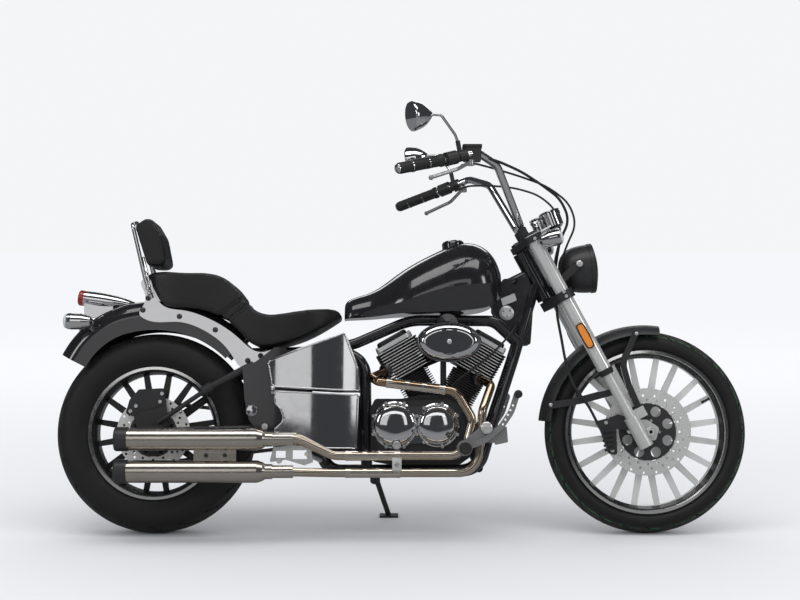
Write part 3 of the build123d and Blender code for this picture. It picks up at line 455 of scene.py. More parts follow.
def rockerPaint(name, capFrom, capTo):
    # a chrome middle block between black end caps; mm from the middle
    paint = Paint(name)
    y = abs(paint.along(parked(*bike["crank"]), axleWay))
    cap = (y > capFrom / 1000) * (y < capTo / 1000)
    cloud = paint.noise(35.0, 4.0, 0.6)
    bright = paint.mixColour(cloud, (0.83, 0.83, 0.84), (0.77, 0.77, 0.78))
    paint.put("Base Color", paint.mixColour(cap, bright, (0.012, 0.012, 0.012)))
    paint.put("Metallic", 0.6 - cap * 0.6)
    paint.put("Roughness", paint.clouded(cloud, 0.04, 0.1) + 0.2 * cap)
    return paint


def tyrePaint(name, axle, radius, marks):
    # side rings of the mould, a crown painted paler, partly rubber worn pale by scrubbing and partly a
    # painted highlight, whose sunk slashes keep a darker painted shade, and the thin coloured mould marks
    paint = Paint(name, Specular_IOR_Level=0.4)
    origin = parked(*axle)
    r, y = paint.radius(origin, axleWay), abs(paint.along(origin, axleWay))
    cloud = paint.noise(30.0, 4.0, 0.6)
    wall, crown = radius - 26, radius - 8
    # paler toward the crown: rubber worn by scrubbing plus a painted highlight on the shoulders; the slash
    # floors, sunk lower, stay dark as painted shade
    scrubAndSheen = paint.mapped(r, wall / 1000, crown / 1000)
    base = paint.mixColour(cloud, (0.006, 0.006, 0.0065), (0.011, 0.011, 0.0115))
    base = paint.mixColour(scrubAndSheen * 0.7, base, (0.034, 0.033, 0.032))
    for colour, low, high in marks:
        spotted = paint.mapped(paint.noise(90.0, 2.0), 0.44, 0.5)
        line = (y > low / 1000) * (y < high / 1000) * (r > (radius - 40) / 1000)
        base = paint.mixColour(line * spotted * 0.5, base, colour)
    paint.put("Base Color", base)
    paint.put("Roughness", paint.clouded(cloud, 0.5, 0.66) + 0.1 * scrubAndSheen)
    rings = (r * 700.0).wave()
    side = paint.mapped(r, wall / 1000, (wall + 2) / 1000, 1.0, 0.0)
    grain = paint.noise(800.0, 2.0)
    paint.bump(rings * side * 0.25 + grain * 0.3, 0.2, 0.0005)
    return paint


def discPaint(name, axle, carrier):
    # a ground rotor on a dark carrier
    paint = Paint(name, Metallic=0.55)
    r = paint.radius(parked(*axle), axleWay)
    inside = paint.mapped(r, (carrier - 1) / 1000, (carrier + 1) / 1000, 1.0, 0.0)
    rings = (r * 9000.0).wave()
    cloud = paint.noise(30.0, 3.0)
    rotor = paint.mixColour(cloud, (0.7, 0.7, 0.69), (0.58, 0.58, 0.56))
    paint.put("Base Color", paint.mixColour(inside, rotor, (0.05, 0.05, 0.052)))
    paint.put("Roughness", paint.clouded(cloud, 0.22, 0.34) + 0.1 * inside)
    paint.bump(rings * 0.2, 0.1, 0.0002)
    return paint


def leatherPaint(name):
    # black vinyl: fine pebble grain over soft creases
    paint = Paint(name, Specular_IOR_Level=0.45)
    pebble = paint.add("ShaderNodeTexVoronoi", {"feature": "F1"}, Vector=paint.where(), Scale=520.0)
    crease = paint.noise(16.0, 3.0, 0.5)
    cloud = paint.noise(7.0, 2.0)
    paint.put("Base Color", paint.mixColour(cloud, (0.006, 0.006, 0.0065), (0.012, 0.012, 0.0125)))
    paint.put("Roughness", paint.clouded(crease, 0.34, 0.5))
    paint.bump(pebble * 0.25 + crease * 1.2, 0.35, 0.0012)
    return paint


def lensPaint(name, colour, ribs=0.0):
    paint = Paint(name, Coat_Weight=0.8, Coat_Roughness=0.03, Transmission_Weight=0.3)
    cloud = paint.noise(40.0, 3.0)
    paint.mottled(cloud, colour, 0.8)
    paint.put("Roughness", paint.clouded(cloud, 0.06, 0.14))
    if ribs:
        paint.bump((paint.along((0, 0, 0), (0, 0, 1)) * ribs).wave(), 0.5, 0.0008)
    return paint


def glassPaint(name):
    # clear glass that the camera sees through, for the lamp
    paint = Paint(name, Transmission_Weight=1.0, IOR=1.45, Specular_IOR_Level=0.5)
    cloud = paint.noise(12.0, 2.0)
    paint.put("Base Color", paint.mixColour(cloud, (0.96, 0.97, 0.98), (0.93, 0.95, 0.96)))
    paint.put("Roughness", paint.clouded(cloud, 0.0, 0.03))
    return paint


def pipePaint(name):
    # chrome that the heat has turned straw and bronze, most near the ports
    paint = Paint(name, Metallic=1.0)
    height = paint.add("ShaderNodeSeparateXYZ", {}, paint.where(), want="Z")
    cloud = paint.noise(9.0, 4.0, 0.6)
    heat = paint.mapped(height + cloud * 0.08, 0.42, 0.56)
    plain = paint.mixColour(cloud, (0.78, 0.73, 0.66), (0.62, 0.5, 0.36))
    paint.put("Base Color", paint.mixColour(heat, plain, (0.42, 0.29, 0.17)))
    paint.put("Roughness", paint.clouded(cloud, 0.1, 0.2))
    return paint


finish = {
    "glossBlack": glossBlackPaint("gloss_black"),
    "satinBlack": satinBlackMetal("satin_black"),
    "castBlack": satinBlackMetal("cast_black", (0.012, 0.012, 0.013), 0.38, 0.55, 120.0),
    "headFins": finPaint("head_fins", 73.4, 91.4),
    "rockers": rockerPaint("rocker_covers", 52, 70.5),
    "chrome": polishedMetal("chrome"),
    "pipeChrome": pipePaint("pipe_chrome"),
    "shieldChrome": polishedMetal("shield_chrome", (0.82, 0.78, 0.71), 0.05, 0.12, 24.0, (0.76, 0.68, 0.57)),
    "mufflerSteel": brushedMetal("muffler_steel", (0.7, 0.66, 0.6), low=0.16, high=0.28,
                                 tint=(0.6, 0.55, 0.48)),
    "forkSteel": brushedMetal("fork_steel", (0.74, 0.74, 0.73), (0, 0, 1), 0.14, 0.24, metallic=0.6),
    "alloy": castAlloy("alloy", (0.62, 0.62, 0.61), 0.55),
    "worked": castAlloy("worked", (0.36, 0.36, 0.36), 0.7, 0.18, 0.3),
    "darkAlloy": castAlloy("dark_alloy", (0.2, 0.2, 0.2)),
    "boltSteel": castAlloy("bolt_steel", (0.66, 0.66, 0.65), 0.7, 0.2, 0.32),
    "boltBlack": satinBlackMetal("bolt_black", (0.02, 0.02, 0.02), 0.25, 0.4, 200.0),
    "frontDisc": discPaint("front_disc", bike["frontAxle"], 94),
    "rearDisc": discPaint("rear_disc", bike["rearAxle"], 76),
    "chainSteel": brushedMetal("chain_steel", (0.3, 0.28, 0.24), low=0.3, high=0.5),
    "rearTyre": tyrePaint("rear_tyre", bike["rearAxle"], 328, []),
    "frontTyre": tyrePaint("front_tyre", bike["frontAxle"], 332, [((0.02, 0.4, 0.12), 37.0, 38.2)]),
    "rearRim": rimPaint("rear_rim", bike["rearAxle"], (0.01, 0.01, 0.01), (0.72, 0.72, 0.71), 205, 21.5,
                        (0.012, 0.012, 0.012)),
    "frontRim": rimPaint("front_rim", bike["frontAxle"], (0.01, 0.01, 0.01), (0.8, 0.8, 0.79), 256, 3,
                         (0.74, 0.74, 0.73)),
    "gripRubber": blackRubber("grip_rubber", (0.012, 0.012, 0.012), (0.45, 0.6)),
    "leather": leatherPaint("leather"),
    "thread": blackRubber("thread", (0.05, 0.05, 0.052), (0.6, 0.75)),
    "redLens": lensPaint("red_lens", (0.32, 0.006, 0.008), 900.0),
    "amberLens": lensPaint("amber_lens", (0.95, 0.28, 0.01), 1500.0),
    "clearLens": lensPaint("clear_lens", (0.72, 0.74, 0.78), 1100.0),
    "glass": glassPaint("clear_glass"),
    "reflector": polishedMetal("reflector", (0.88, 0.88, 0.9), 0.05, 0.1),
    "bulb": lensPaint("bulb", (0.9, 0.88, 0.8)),
    "dialFace": satinBlackMetal("dial_face", (0.008, 0.008, 0.009), 0.5, 0.6, 60.0),
    "dialMark": blackRubber("dial_mark", (0.75, 0.75, 0.73), (0.5, 0.6)),
    "needle": blackRubber("needle", (0.7, 0.05, 0.02), (0.4, 0.5)),
    "mirrorGlass": polishedMetal("mirror_glass", (0.86, 0.88, 0.9), 0.01, 0.02),
    "blackPlastic": satinBlackMetal("black_plastic", (0.012, 0.012, 0.012), 0.35, 0.5, 200.0),
    "barePlate": castAlloy("bare_plate", (0.6, 0.6, 0.6), 0.6, 0.3, 0.4),
}
print("finishes made", len(finish))

nodeFinish = {
    "glossBlack": ("frame", "horn", "fuel_tank", "rear_fender"),
    "satinBlack": ("swingarm", "muffler_tips", "yokes", "headlamp", "side_stand", "front_fender"),
    "castBlack": ("crankcase", "barrels", "intake", "rear_caliper", "front_caliper"),
    "chrome": ("engine_covers", "air_cleaner", "fender_struts", "sissy_bar", "tail_lamp", "rear_signals",
               "side_covers", "pivot_caps", "handlebar", "mirrors", "gauges", "front_signals"),
    "alloy": ("exhaust_hanger", "fork_legs"), "worked": ("foot_controls", "hand_levers"),
    "gripRubber": ("footpegs", "grips", "control_cables", "brake_hoses", "choke_cable", "breather_tube"),
    "leather": ("seat", "backrest_pad"), "frontDisc": ("front_disc",), "rearDisc": ("rear_disc",),
    "rearTyre": ("rear_tyre",), "frontTyre": ("front_tyre",), "rearRim": ("rear_rim",),
    "frontRim": ("front_rim",), "darkAlloy": ("rear_sprocket",), "chainSteel": ("drive_chain",),
    "headFins": ("cylinder_heads",), "rockers": ("rocker_covers",), "pipeChrome": ("exhaust_pipes",),
    "shieldChrome": ("heat_shields",), "mufflerSteel": ("mufflers",), "forkSteel": ("fork_tubes",),
    "redLens": ("tail_lens",), "mirrorGlass": ("mirror_glass",), "glass": ("headlamp_lens",),
    "amberLens": ("reflectors",), "barePlate": ("key_switch",), "blackPlastic": ("hand_controls",),
}
for finishName, members in nodeFinish.items():
    for node in members:
        slots = nodes[node].data.materials
        if not len(slots):
            slots.append(None)
        for i in range(len(slots)):
            slots[i] = finish[finishName].material
print("frame finished")

# tyres: the section extruded ring by ring, its slashes sunk into the tread
tyres = {
    "rear": {"radius": 328, "width": 150, "flange": 217, "columns": 240, "pitch": 12, "cut": 2, "slant": 2,
             "depth": 5.0},
    "front": {"radius": 332, "width": 104, "flange": 268, "columns": 264, "pitch": 11, "cut": 1, "slant": 1,
              "depth": 4.0}}
tread = {"drop": 22, "crownSteps": 18, "wallSteps": 5, "rows": 6}


def arcPoints(a, b, c, count):
    # points on the circle through three (r, y) points
    ax, ay, bx, by, cx, cy = *a, *b, *c
    d = 2 * (ax * (by - cy) + bx * (cy - ay) + cx * (ay - by))
    aa, bb, cc = ax ** 2 + ay ** 2, bx ** 2 + by ** 2, cx ** 2 + cy ** 2
    ux = (aa * (by - cy) + bb * (cy - ay) + cc * (ay - by)) / d
    uy = (aa * (cx - bx) + bb * (ax - cx) + cc * (bx - ax)) / d
    r = math.hypot(ax - ux, ay - uy)
    start, middle, end = [math.atan2(q - uy, p - ux) for p, q in (a, b, c)]
    while middle < start:
        middle += 2 * math.pi
    while end < middle:
        end += 2 * math.pi
    if end - start > 2 * math.pi:
        start, end = start, end - 2 * math.pi
    steps = [start + (end - start) * i / count for i in range(count + 1)]
    return [(ux + r * math.cos(t), uy + r * math.sin(t)) for t in steps]


def treadedTyre(end, size):
    # the section as (radius, y) points: bead, wall, crown, wall, bead
    h, flange, r = size["width"] / 2, size["flange"], size["radius"]
    shoulder, middle = (r - tread["drop"], h * 0.84), (flange + r) / 2 - 8
    crown = arcPoints((shoulder[0], -shoulder[1]), (r, 0), shoulder, tread["crownSteps"])
    wall = arcPoints(shoulder, (middle, h), (flange + 4, h * 0.74), tread["wallSteps"])
    bead = [(flange - 12, h * 0.66)]
    rows = [(p, -q) for p, q in bead] + [(p, -q) for p, q in reversed(wall)] + crown[1:] + wall[1:] + bead
    rings = [(q, p) for p, q in rows]
    piece = turnedPiece(rings, size["columns"], closed=False)
    heights, picked = [q / 1000 for _, q in crown], []
    for face in piece.data.polygons:
        x, y, z = face.center
        if math.hypot(x, y) < (shoulder[0] + 1) / 1000 or abs(z) > shoulder[1] / 1000:
            continue
        row = sum(1 for q in heights if q < z) - 1
        column = int((math.atan2(y, x) / (2 * math.pi) + 0.5) * size["columns"])
        if row >= tread["crownSteps"] // 2:
            # the other half's slashes lie between these
            row, column = tread["crownSteps"] - 1 - row, column + size["pitch"] // 2
        if row < tread["rows"] and (column + row * size["slant"]) % size["pitch"] < size["cut"]:
            picked.append(face.index)
    pickOnly(piece)
    nothingPicked("FACE")
    for index in picked:
        piece.data.polygons[index].select = True
    bpy.ops.object.mode_set(mode="EDIT")
    bpy.ops.mesh.extrude_region_shrink_fatten(
        MESH_OT_extrude_region={}, TRANSFORM_OT_shrink_fatten={"value": -size["depth"] / 1000})
    bpy.ops.object.mode_set(mode="OBJECT")
    piece.matrix_world = posed(bike[end + "Axle"], (0, 1, 0))
    settle(piece)
    smooth(piece, 38)
    dressed(piece, end + "Tyre", end + "_wheel", (end + "_tyre",))
    piece.name = end + "_tyre_treaded"


for end, size in tyres.items():
    treadedTyre(end, size)
print("tyres treaded")

# seat and backrest: the foam shaped from the CAD blank, drawn in along its stitched seams
softPieces = {
    "seat": {"voxel": 6.5, "body": "chassis", "fill": 0.9,
             "seams": [((299, 0, 767), (-0.607, 0, 0.795), 7.0), ((314, 0, 750), (-0.607, 0, 0.795), 7.0)]},
    "backrest_pad": {"voxel": 5.0, "body": "chassis", "fill": 0.9,
                     "seams": [((0, 84, 950), (0, 1, 0), 5.0), ((0, -84, 950), (0, 1, 0), 5.0)]}}


def paddedPiece(node, plan):
    pickOnly(nodes[node])
    bpy.ops.object.duplicate()
    piece = bpy.context.object
    piece.parent = None
    for key in list(piece.keys()):  # the copy carries none of the node's tags
        del piece[key]
    piece.name = node + "_padded"
    remesh = piece.modifiers.new("Remesh", "REMESH")
    remesh.mode = "VOXEL"
    remesh.voxel_size = plan["voxel"] / 1000
    bpy.ops.object.modifier_apply(modifier="Remesh")
    edited(bpy.ops.mesh.vertices_smooth, factor=0.5, repeat=6)
    for origin, way, depth in plan["seams"]:
        at, normal = parked(*origin), leanTurn @ Vector(way)
        for reach, share in ((9.0, 0.35), (5.0, 0.65)):
            nothingPicked("VERT")
            for vertex in piece.data.vertices:
                vertex.select = abs((vertex.co - at).dot(normal)) < reach / 1000
            bpy.ops.object.mode_set(mode="EDIT")
            bpy.ops.transform.shrink_fatten(value=-depth * share / 1000)
            bpy.ops.object.mode_set(mode="OBJECT")
    edited(bpy.ops.mesh.vertices_smooth, factor=0.35, repeat=1)
    divide = piece.modifiers.new("Subdivision", "SUBSURF")
    divide.levels = divide.render_levels = 1
    bpy.ops.object.modifier_apply(modifier="Subdivision")
    bpy.ops.object.shade_smooth()
    dressed(piece, "leather", plan["body"], (node,))
    return piece


for node, plan in softPieces.items():
    softPieces[node]["piece"] = paddedPiece(node, plan)
print("seat and backrest padded")


def surfaceHit(piece, point, way):
    # where a ray from a point of the motorcycle meets the piece
    found, place, normal, _ = piece.ray_cast(parked(*point), leanTurn @ Vector(way))
    return (place, normal) if found else (None, None)


# stitches: one short thread, laid along both sides of the seat's seams
stitches = {"rows": [(-2.5, 0.4), (-2.0, 0.65), (2.0, 0.65), (2.5, 0.4)], "step": 7.5, "offset": 6.5,
            "sweep": 3.6, "across": 40, "down": 26, "stand": 60, "wide": 220}
stitchPlaces = []
seatPiece = softPieces["seat"]["piece"]
for origin, way, _ in softPieces["seat"]["seams"]:
    for side in (-1, 1):
        at = Vector(origin) + Vector(way) * side * stitches["offset"]
        down = Vector((-way[2], 0, way[0]))
        rays = [(at - down * stitches["stand"] + Vector((0, i * stitches["sweep"], 0)), down)
                for i in range(-stitches["across"], stitches["across"] + 1)]
        for y in (-1, 1):
            rays += [(at + down * i * stitches["sweep"] + Vector((0, y * stitches["wide"], 0)),
                      Vector((0, -y, 0))) for i in range(1, stitches["down"])]
        last = None
        for start, look in rays:
            place, normal = surfaceHit(seatPiece, start, look)
            if place is None or normal.dot(leanTurn @ -look) < 0.15:
                continue
            gap = (place - last).length if last is not None else 1.0
            if gap > stitches["step"] / 1000:
                if gap < 0.02:
                    turn = (place - last).normalized().to_track_quat("Z", "Y").to_matrix().to_4x4()
                    stitchPlaces.append(Matrix.Translation(place + normal * 0.0004) @ turn)
                last = place
if stitchPlaces:
    copied(turnedPiece(stitches["rows"], 6), stitchPlaces, "seat_stitches", "thread", "chassis")
print("seams stitched", len(stitchPlaces))


# fasteners: each kind modelled once, then copied to its places
def capScrew(r, height):
    # a socket head with a rounded rim, its socket sunk
    return turnedPiece([(-2, r), (height * 0.82, r), (height, r * 0.86), (height, r * 0.52),
                        (height * 0.45, r * 0.48)], 16)


def hexHead(r, height, bore=0.0):
    # a bolt's head with its stub, or a nut round a bore
    rows = [(-1, r), (height * 0.85, r), (height, r * 0.9)]
    rows += [(height, bore), (-1, bore)] if bore else [(height, r * 0.55), (height + 2.5, r * 0.5)]
    return turnedPiece(rows, 6, closed=not bore)


def domeHead(r, height):
    return turnedPiece([(-1, r), (height * 0.3, r), (height * 0.7, r * 0.82), (height, r * 0.45)], 20)


clutchAt, timingAt, coverFace = (790, 0, 354.5), (927, 0, 354.5), 129
coverRings = [(clutchAt, 76, 8, -1), (timingAt, 71, 7, -1), (clutchAt, 71, 7, 1), (timingAt, 79, 8, 1)]
coverScrews = [posed(around(centre, r, 360 * (i + 0.5) / count, side * coverFace), (0, side, 0))
               for centre, r, count, side in coverRings for i in range(count)]
copied(capScrew(5.2, 6), coverScrews, "cover_screws", "boltSteel", "chassis")

rocker = {"top": 320, "across": (-59, 59), "rows": (-72, 0, 72)}
rockerScrews = []
for sign in (-1, 1):
    cylinderUp = Vector(onCylinder(sign, 0, 0, 1)) - Vector(onCylinder(sign, 0, 0, 0))
    rockerScrews += [posed(onCylinder(sign, x, y, rocker["top"]), cylinderUp)
                     for x in rocker["across"] for y in rocker["rows"]]
copied(capScrew(4.6, 5), rockerScrews, "rocker_screws", "boltSteel", "chassis")

strutPoints = [(-20, 94, 769), (-37, 94, 730), (83, 94, 709), (201, 94, 665), (308, 94, 564), (350, 94, 580)]
copied(domeHead(9, 6.5), outward(strutPoints), "strut_bolts", "boltBlack", "chassis")

sissyPoints = [(-20, 107, 800), (-14, 107, 784)]
copied(domeHead(7.5, 8), outward(sissyPoints), "sissy_nuts", "chrome", "chassis")

rearBrakePoints = [(32, -107, 456), (26, -107, 430), (-52, -107, 416), (-70, -107, 399)]
copied(capScrew(6, 5), [posed(p) for p in rearBrakePoints], "rear_brake_bolts", "boltSteel", "chassis")
ax, _, az = bike["frontAxle"]
frontBrakePoints = [(ax - 122, -100, az - 60), (ax - 142, -100, az + 30)]
copied(capScrew(6, 5), [posed(p) for p in frontBrakePoints], "front_brake_bolts", "boltSteel", "steering")
stayPoints = [(ax - 34, 72, az + 322), (ax - 318, 72, az + 88), (ax - 120, 71, az + 126),
              (ax - 27, 71, az + 68)]
copied(domeHead(6.5, 5), outward(stayPoints), "stay_bolts", "boltSteel", "steering")

yokePoints = [onFork(s, bike["forkY"] + 33, bike["forkOut"]) for s in (-56, -40, 158)]
copied(capScrew(5.5, 5), outward(yokePoints), "pinch_bolts", "boltSteel", "steering")
forkUp = Vector(onFork(1, 0, 0)) - Vector(onFork(0, 0, 0))


def legPoints(s):
    return bothSides([onFork(s, bike["forkY"], bike["forkOut"])])


copied(turnedPiece([(-2, 21), (5, 21), (7, 19), (7, 14), (9, 13.5)], 24),
       [posed(p, forkUp) for p in legPoints(176)], "fork_caps", "boltBlack", "steering")
copied(hexHead(19, 9), [posed(onFork(172, 0, 0), forkUp)], "stem_nut", "chrome", "steering")
sealAt = -329.7  # along the steering axis
sealRows = [(-14, 18), (-14, 22), (-3, 25), (6, 25), (6, 24)]
copied(turnedPiece(sealRows, 32, closed=False), [posed(p, forkUp) for p in legPoints(sealAt)],
       "dust_seals", "gripRubber", "steering")

nutBore = 11.3
copied(hexHead(17, 9, nutBore), outward([(ax, 115, az)]), "front_axle_nuts", "boltSteel", "steering")
copied(hexHead(15, 10, nutBore), outward([(0, 131, bike["rearAxle"][2])]), "rear_axle_nuts",
       "boltSteel", "chassis")


def hubRing(axle, r, y, way=(0, -1, 0), count=5):
    return [posed(around(axle, r, 360 * i / count, y), way) for i in range(count)]


copied(capScrew(5, 4), hubRing(bike["frontAxle"], 38, -59), "front_disc_bolts", "boltSteel", "front_wheel")
copied(capScrew(5, 4), hubRing(bike["rearAxle"], 41, -77), "rear_disc_bolts", "boltSteel", "rear_wheel")
copied(hexHead(6, 5), hubRing(bike["rearAxle"], 42, 96, (0, 1, 0)), "sprocket_bolts",
       "boltSteel", "rear_wheel")

mufflerPoints = [(190, -204, 259), (250, -204, 259)]
copied(capScrew(7, 6), [posed(p) for p in mufflerPoints], "muffler_bolts", "boltBlack", "chassis")
copied(domeHead(11, 5), outward([nearHead(117, 86, 84)]), "lamp_bolts", "boltSteel", "steering")
copied(domeHead(19, 6), outward([(1081, 214, 346)]), "control_caps", "boltSteel", "chassis")
copied(domeHead(8, 5), [posed((964.5, -178, 622))], "cleaner_bolt", "boltSteel", "chassis")

# black borders of the reflectors, by their corners along and ahead of the steering axis
border = {"y": 134, "thick": 5, "edge": [(-239, 30), (-236, 27), (-160, 27), (-157, 30), (-157, 46),
                                         (-160, 49), (-236, 49), (-239, 46)]}
borders = [tubePiece([onFork(s, side * border["y"], f) for s, f in border["edge"]], border["thick"])
           for side in (-1, 1)]
joined("reflector_borders", borders, "blackPlastic", "steering")

keyAt, keyRing = nearHead(-121, -50, -76), 12
keyScrews = [posed((keyAt[0] + keyRing * math.cos(t), keyAt[1] + 0.5, keyAt[2] + keyRing * math.sin(t)))
             for t in (0.6, 2.7, 4.8)]
copied(capScrew(2.4, 2), keyScrews, "key_screws", "boltBlack", "chassis")
capPoints = [nearHead(-262, -253, 444), nearHead(-226, -253, 444)]
copied(capScrew(3.2, 2), [posed(p, (0, 0, 1)) for p in capPoints], "reservoir_screws",
       "boltSteel", "steering")
print("fasteners placed")

# lenses, headlamp and dials
lensRows = [(-3, 23.5), (1, 23.5), (4.5, 20), (7.5, 11), (8, 2)]
rearSignals, frontSignals = bothSides([(-284, 112, 692)]), bothSides([nearHead(48, 150, 165)])
copied(turnedPiece(lensRows), [posed(p, (-88, 0, 2)) for p in rearSignals],
       "rear_signal_lenses", "clearLens", "chassis")
copied(turnedPiece(lensRows), [posed(p, (70, 0, 15)) for p in frontSignals],
       "front_signal_lenses", "clearLens", "steering")
lampAt = nearHead(166, 0, 77)
lampWay = Vector(lampAt) - Vector(nearHead(58, 0, 65.5))
bowlRows = [(-4, 74), (-14, 71), (-30, 60), (-46, 42), (-56, 20), (-58, 9)]
copied(turnedPiece(bowlRows, 48, closed=False), [posed(lampAt, lampWay)], "headlamp_reflector",
       "reflector", "steering")
copied(turnedPiece([(-58, 9), (-34, 8), (-26, 7), (-22, 3)], 20), [posed(lampAt, lampWay)],
       "headlamp_bulb", "bulb", "steering")
copied(turnedPiece([(-8, 80.8), (-8, 83), (5, 83), (7, 80.6), (5, 78.2)], 48, closed=False),
       [posed(lampAt, lampWay)], "headlamp_rim", "blackPlastic", "steering")

dialSweep, handRest = 260, 126
dials = {"speed": {"from": nearHead(42, -40, 206), "to": nearHead(22, -40, 260), "r": 31, "ticks": 24},
         "rev": {"from": nearHead(12, 44, 202), "to": nearHead(-8, 44, 249.5), "r": 26, "ticks": 16}}
for name, dial in dials.items():
    way = Vector(dial["to"]) - Vector(dial["from"])
    at, r = posed(dial["to"], way), dial["r"]
    copied(turnedPiece([(0.1, r), (0.6, r)], 40), [at], name + "_dial_face", "dialFace", "steering")
    tick = boxPiece((1.0, 5.0, 0.3), 0)
    places = [at @ Matrix.Rotation(math.radians(dialSweep * (i / dial["ticks"] - 0.5)), 4, "Z")
              @ Matrix.Translation((0, (r - 5) / 1000, 0.0008)) for i in range(dial["ticks"] + 1)]
    copied(tick, places, name + "_dial_ticks", "dialMark", "steering")
    hand = boxPiece((1.4, r * 0.75, 0.6), 0)
    restTurn = Matrix.Rotation(math.radians(handRest), 4, "Z")
    copied(hand, [at @ restTurn @ Matrix.Translation((0, r * 0.00033, 0.0016))], name + "_dial_hand",
           "needle", "steering")
    ringRows = [(-1, r), (3, r), (3.6, r + 1.2), (3, r + 3.4), (-1, r + 3.6)]
    copied(turnedPiece(ringRows, 40, closed=False), [at], name + "_dial_ring", "chrome", "steering")
print("lamps and dials placed")

# grips: ribbed sleeves with bright bands and bar ends
barPoints = [nearHead(-474, 400, 346), nearHead(-336, 318, 387)]
gripWay = Vector(barPoints[1]) - Vector(barPoints[0])
rib = {"r": 18.2, "groove": 16.9, "pitch": 10.4, "count": 13, "bands": (0, 62)}
gripRows = [(-6, 17.0), (2, rib["r"])]
for i in range(rib["count"]):
    start = 6 + i * rib["pitch"]
    gripRows += [(start, rib["r"]), (start + 1.2, rib["groove"]), (start + 3.4, rib["groove"]),
                 (start + 4.6, rib["r"])]
gripRows += [(146, rib["r"]), (150, 20.6), (158, 20.8), (160, 16)]
for side, label in ((-1, "right"), (1, "left")):
    at = (barPoints[0][0], side * barPoints[0][1], barPoints[0][2])
    way = Vector((gripWay.x, side * gripWay.y, gripWay.z))
    copied(turnedPiece(gripRows, 32), [posed(at, way)], label + "_grip_sleeve", "gripRubber", "steering")
    copied(turnedPiece([(-14, 9), (-12.5, 13), (-9, 15.5), (-5.5, 15.5)], 28),
           [posed(at, way)], label + "_bar_end", "chrome", "steering")
    bandPlaces = [posed(Vector(at) + way.normalized() * step, way) for step in rib["bands"]]
    copied(turnedPiece([(40, 18), (40, 19), (43, 19), (43, 18)], 32, closed=False),
           bandPlaces, label + "_grip_bands", "chrome", "steering")
print("grips sleeved")

# drive chain: one outer and one inner link, copied along the pitch line
chain = {"y": 92.0, "big": 100.0, "small": 34.0, "gear": (590.0, 0, 330.0), "pitch": 15.875, "plate": 1.7,
         "roller": 4.6, "fine": 1.5}


def chainPath():
    # the belt line round both sprockets, as points
    x2, z1, z2 = chain["gear"][0], bike["rearAxle"][2], chain["gear"][2]
    gap = math.hypot(x2, z2 - z1)
    lie = math.atan2(z2 - z1, x2)
    spread = math.acos((chain["big"] - chain["small"]) / gap)
    arcs = [((0, z1), chain["big"], lie + spread, lie + 2 * math.pi - spread),
            ((x2, z2), chain["small"], lie - spread, lie + spread)]
    line = []
    for (cx, cz), r, a, b in arcs:
        count = max(8, int(r * (b - a) / chain["fine"]))
        line += [(cx + r * math.cos(a + (b - a) * i / count), cz + r * math.sin(a + (b - a) * i / count))
                 for i in range(count + 1)]
    line.append(line[0])
    return line


def alongPath(line, step):
    # points at an even step, in an even number, so that outer and inner links alternate
    lengths = [math.dist(p, q) for p, q in zip(line, line[1:])]
    total = sum(lengths)
    count = 2 * round(total / step / 2)
    made, walked, index = [], 0.0, 0
    for i in range(count):
        goal = total * i / count
        while walked + lengths[index] < goal:
            walked += lengths[index]
            index += 1
        t = (goal - walked) / max(lengths[index], 1e-9)
        p, q = line[index], line[index + 1]
        made.append((p[0] + t * (q[0] - p[0]), p[1] + t * (q[1] - p[1])))
    return made


def linkPiece(gap, height):
    # two side plates with bevelled edges and a roller
    parts = []
    for side in (-1, 1):
        plate = boxPiece((chain["pitch"] + height * 0.8, chain["plate"], height), 0)
        edited(bpy.ops.mesh.bevel, offset=height * 0.00033, segments=2, affect="EDGES")
        plate.location = (0, side * gap / 2000, 0)
        settle(plate)
        parts.append(plate)
    roller = turnedPiece([(-gap / 2, chain["roller"]), (gap / 2, chain["roller"])], 12)
    roller.rotation_euler = (math.radians(90), 0, 0)
    roller.location = (chain["pitch"] / 2000, 0, 0)
    settle(roller)
    pickOnly(*parts, roller)
    bpy.ops.object.join()
    return bpy.context.object


pins = alongPath(chainPath(), chain["pitch"])
linkPlaces = {0: [], 1: []}
for i, (p, q) in enumerate(zip(pins, pins[1:] + pins[:1])):
    turn = Matrix.Rotation(-math.atan2(q[1] - p[1], q[0] - p[0]), 4, "Y")
    middle = ((p[0] + q[0]) / 2, chain["y"], (p[1] + q[1]) / 2)
    linkPlaces[i % 2].append(leanMatrix @ Matrix.Translation(Vector(middle) / 1000) @ turn)
copied(linkPiece(13.0, 12.5), linkPlaces[0], "chain_outer_links", "chainSteel", "chassis", ("drive_chain",))
copied(linkPiece(9.2, 12.0), linkPlaces[1], "chain_inner_links", "chainSteel", "chassis")
print("chain linked", len(pins))

# small trim
valve = {"rows": [(0, 6), (3, 6), (4, 3.4), (20, 3.4), (21, 4.2), (29, 4.2), (30, 3)], "y": 8,
         "ends": (("front", 245, 26.7), ("rear", 194, 232))}
for end, r, turn in valve["ends"]:
    at, inward = around(bike[end + "Axle"], r, turn, valve["y"]), Vector(around((0, 0, 0), -1, turn))
    copied(turnedPiece(valve["rows"], 14), [posed(at, inward)], end + "_valve", "blackPlastic",
           end + "_wheel")
bracket = {"at": Vector((796, -196, 230)), "size": (30, 8, 40)}
copied(boxPiece(bracket["size"], 2), [posed(bracket["at"], (0, 0, 1))], "pipe_bracket", "alloy", "chassis")
boltAt = bracket["at"] - Vector((0, bracket["size"][1] / 2, 0))
copied(capScrew(8, 6), [posed(boltAt)], "bracket_bolt", "boltSteel", "chassis")
copied(turnedPiece([(-2, 14), (3, 14), (5, 12), (5, 7), (3, 6)], 24), [posed((795, -150, 290))],
       "oil_cap", "boltSteel", "chassis")
portWay = [((757, -82, 528), (-43, -44, -20)), ((1068, -82, 505), (34, -44, -21))]
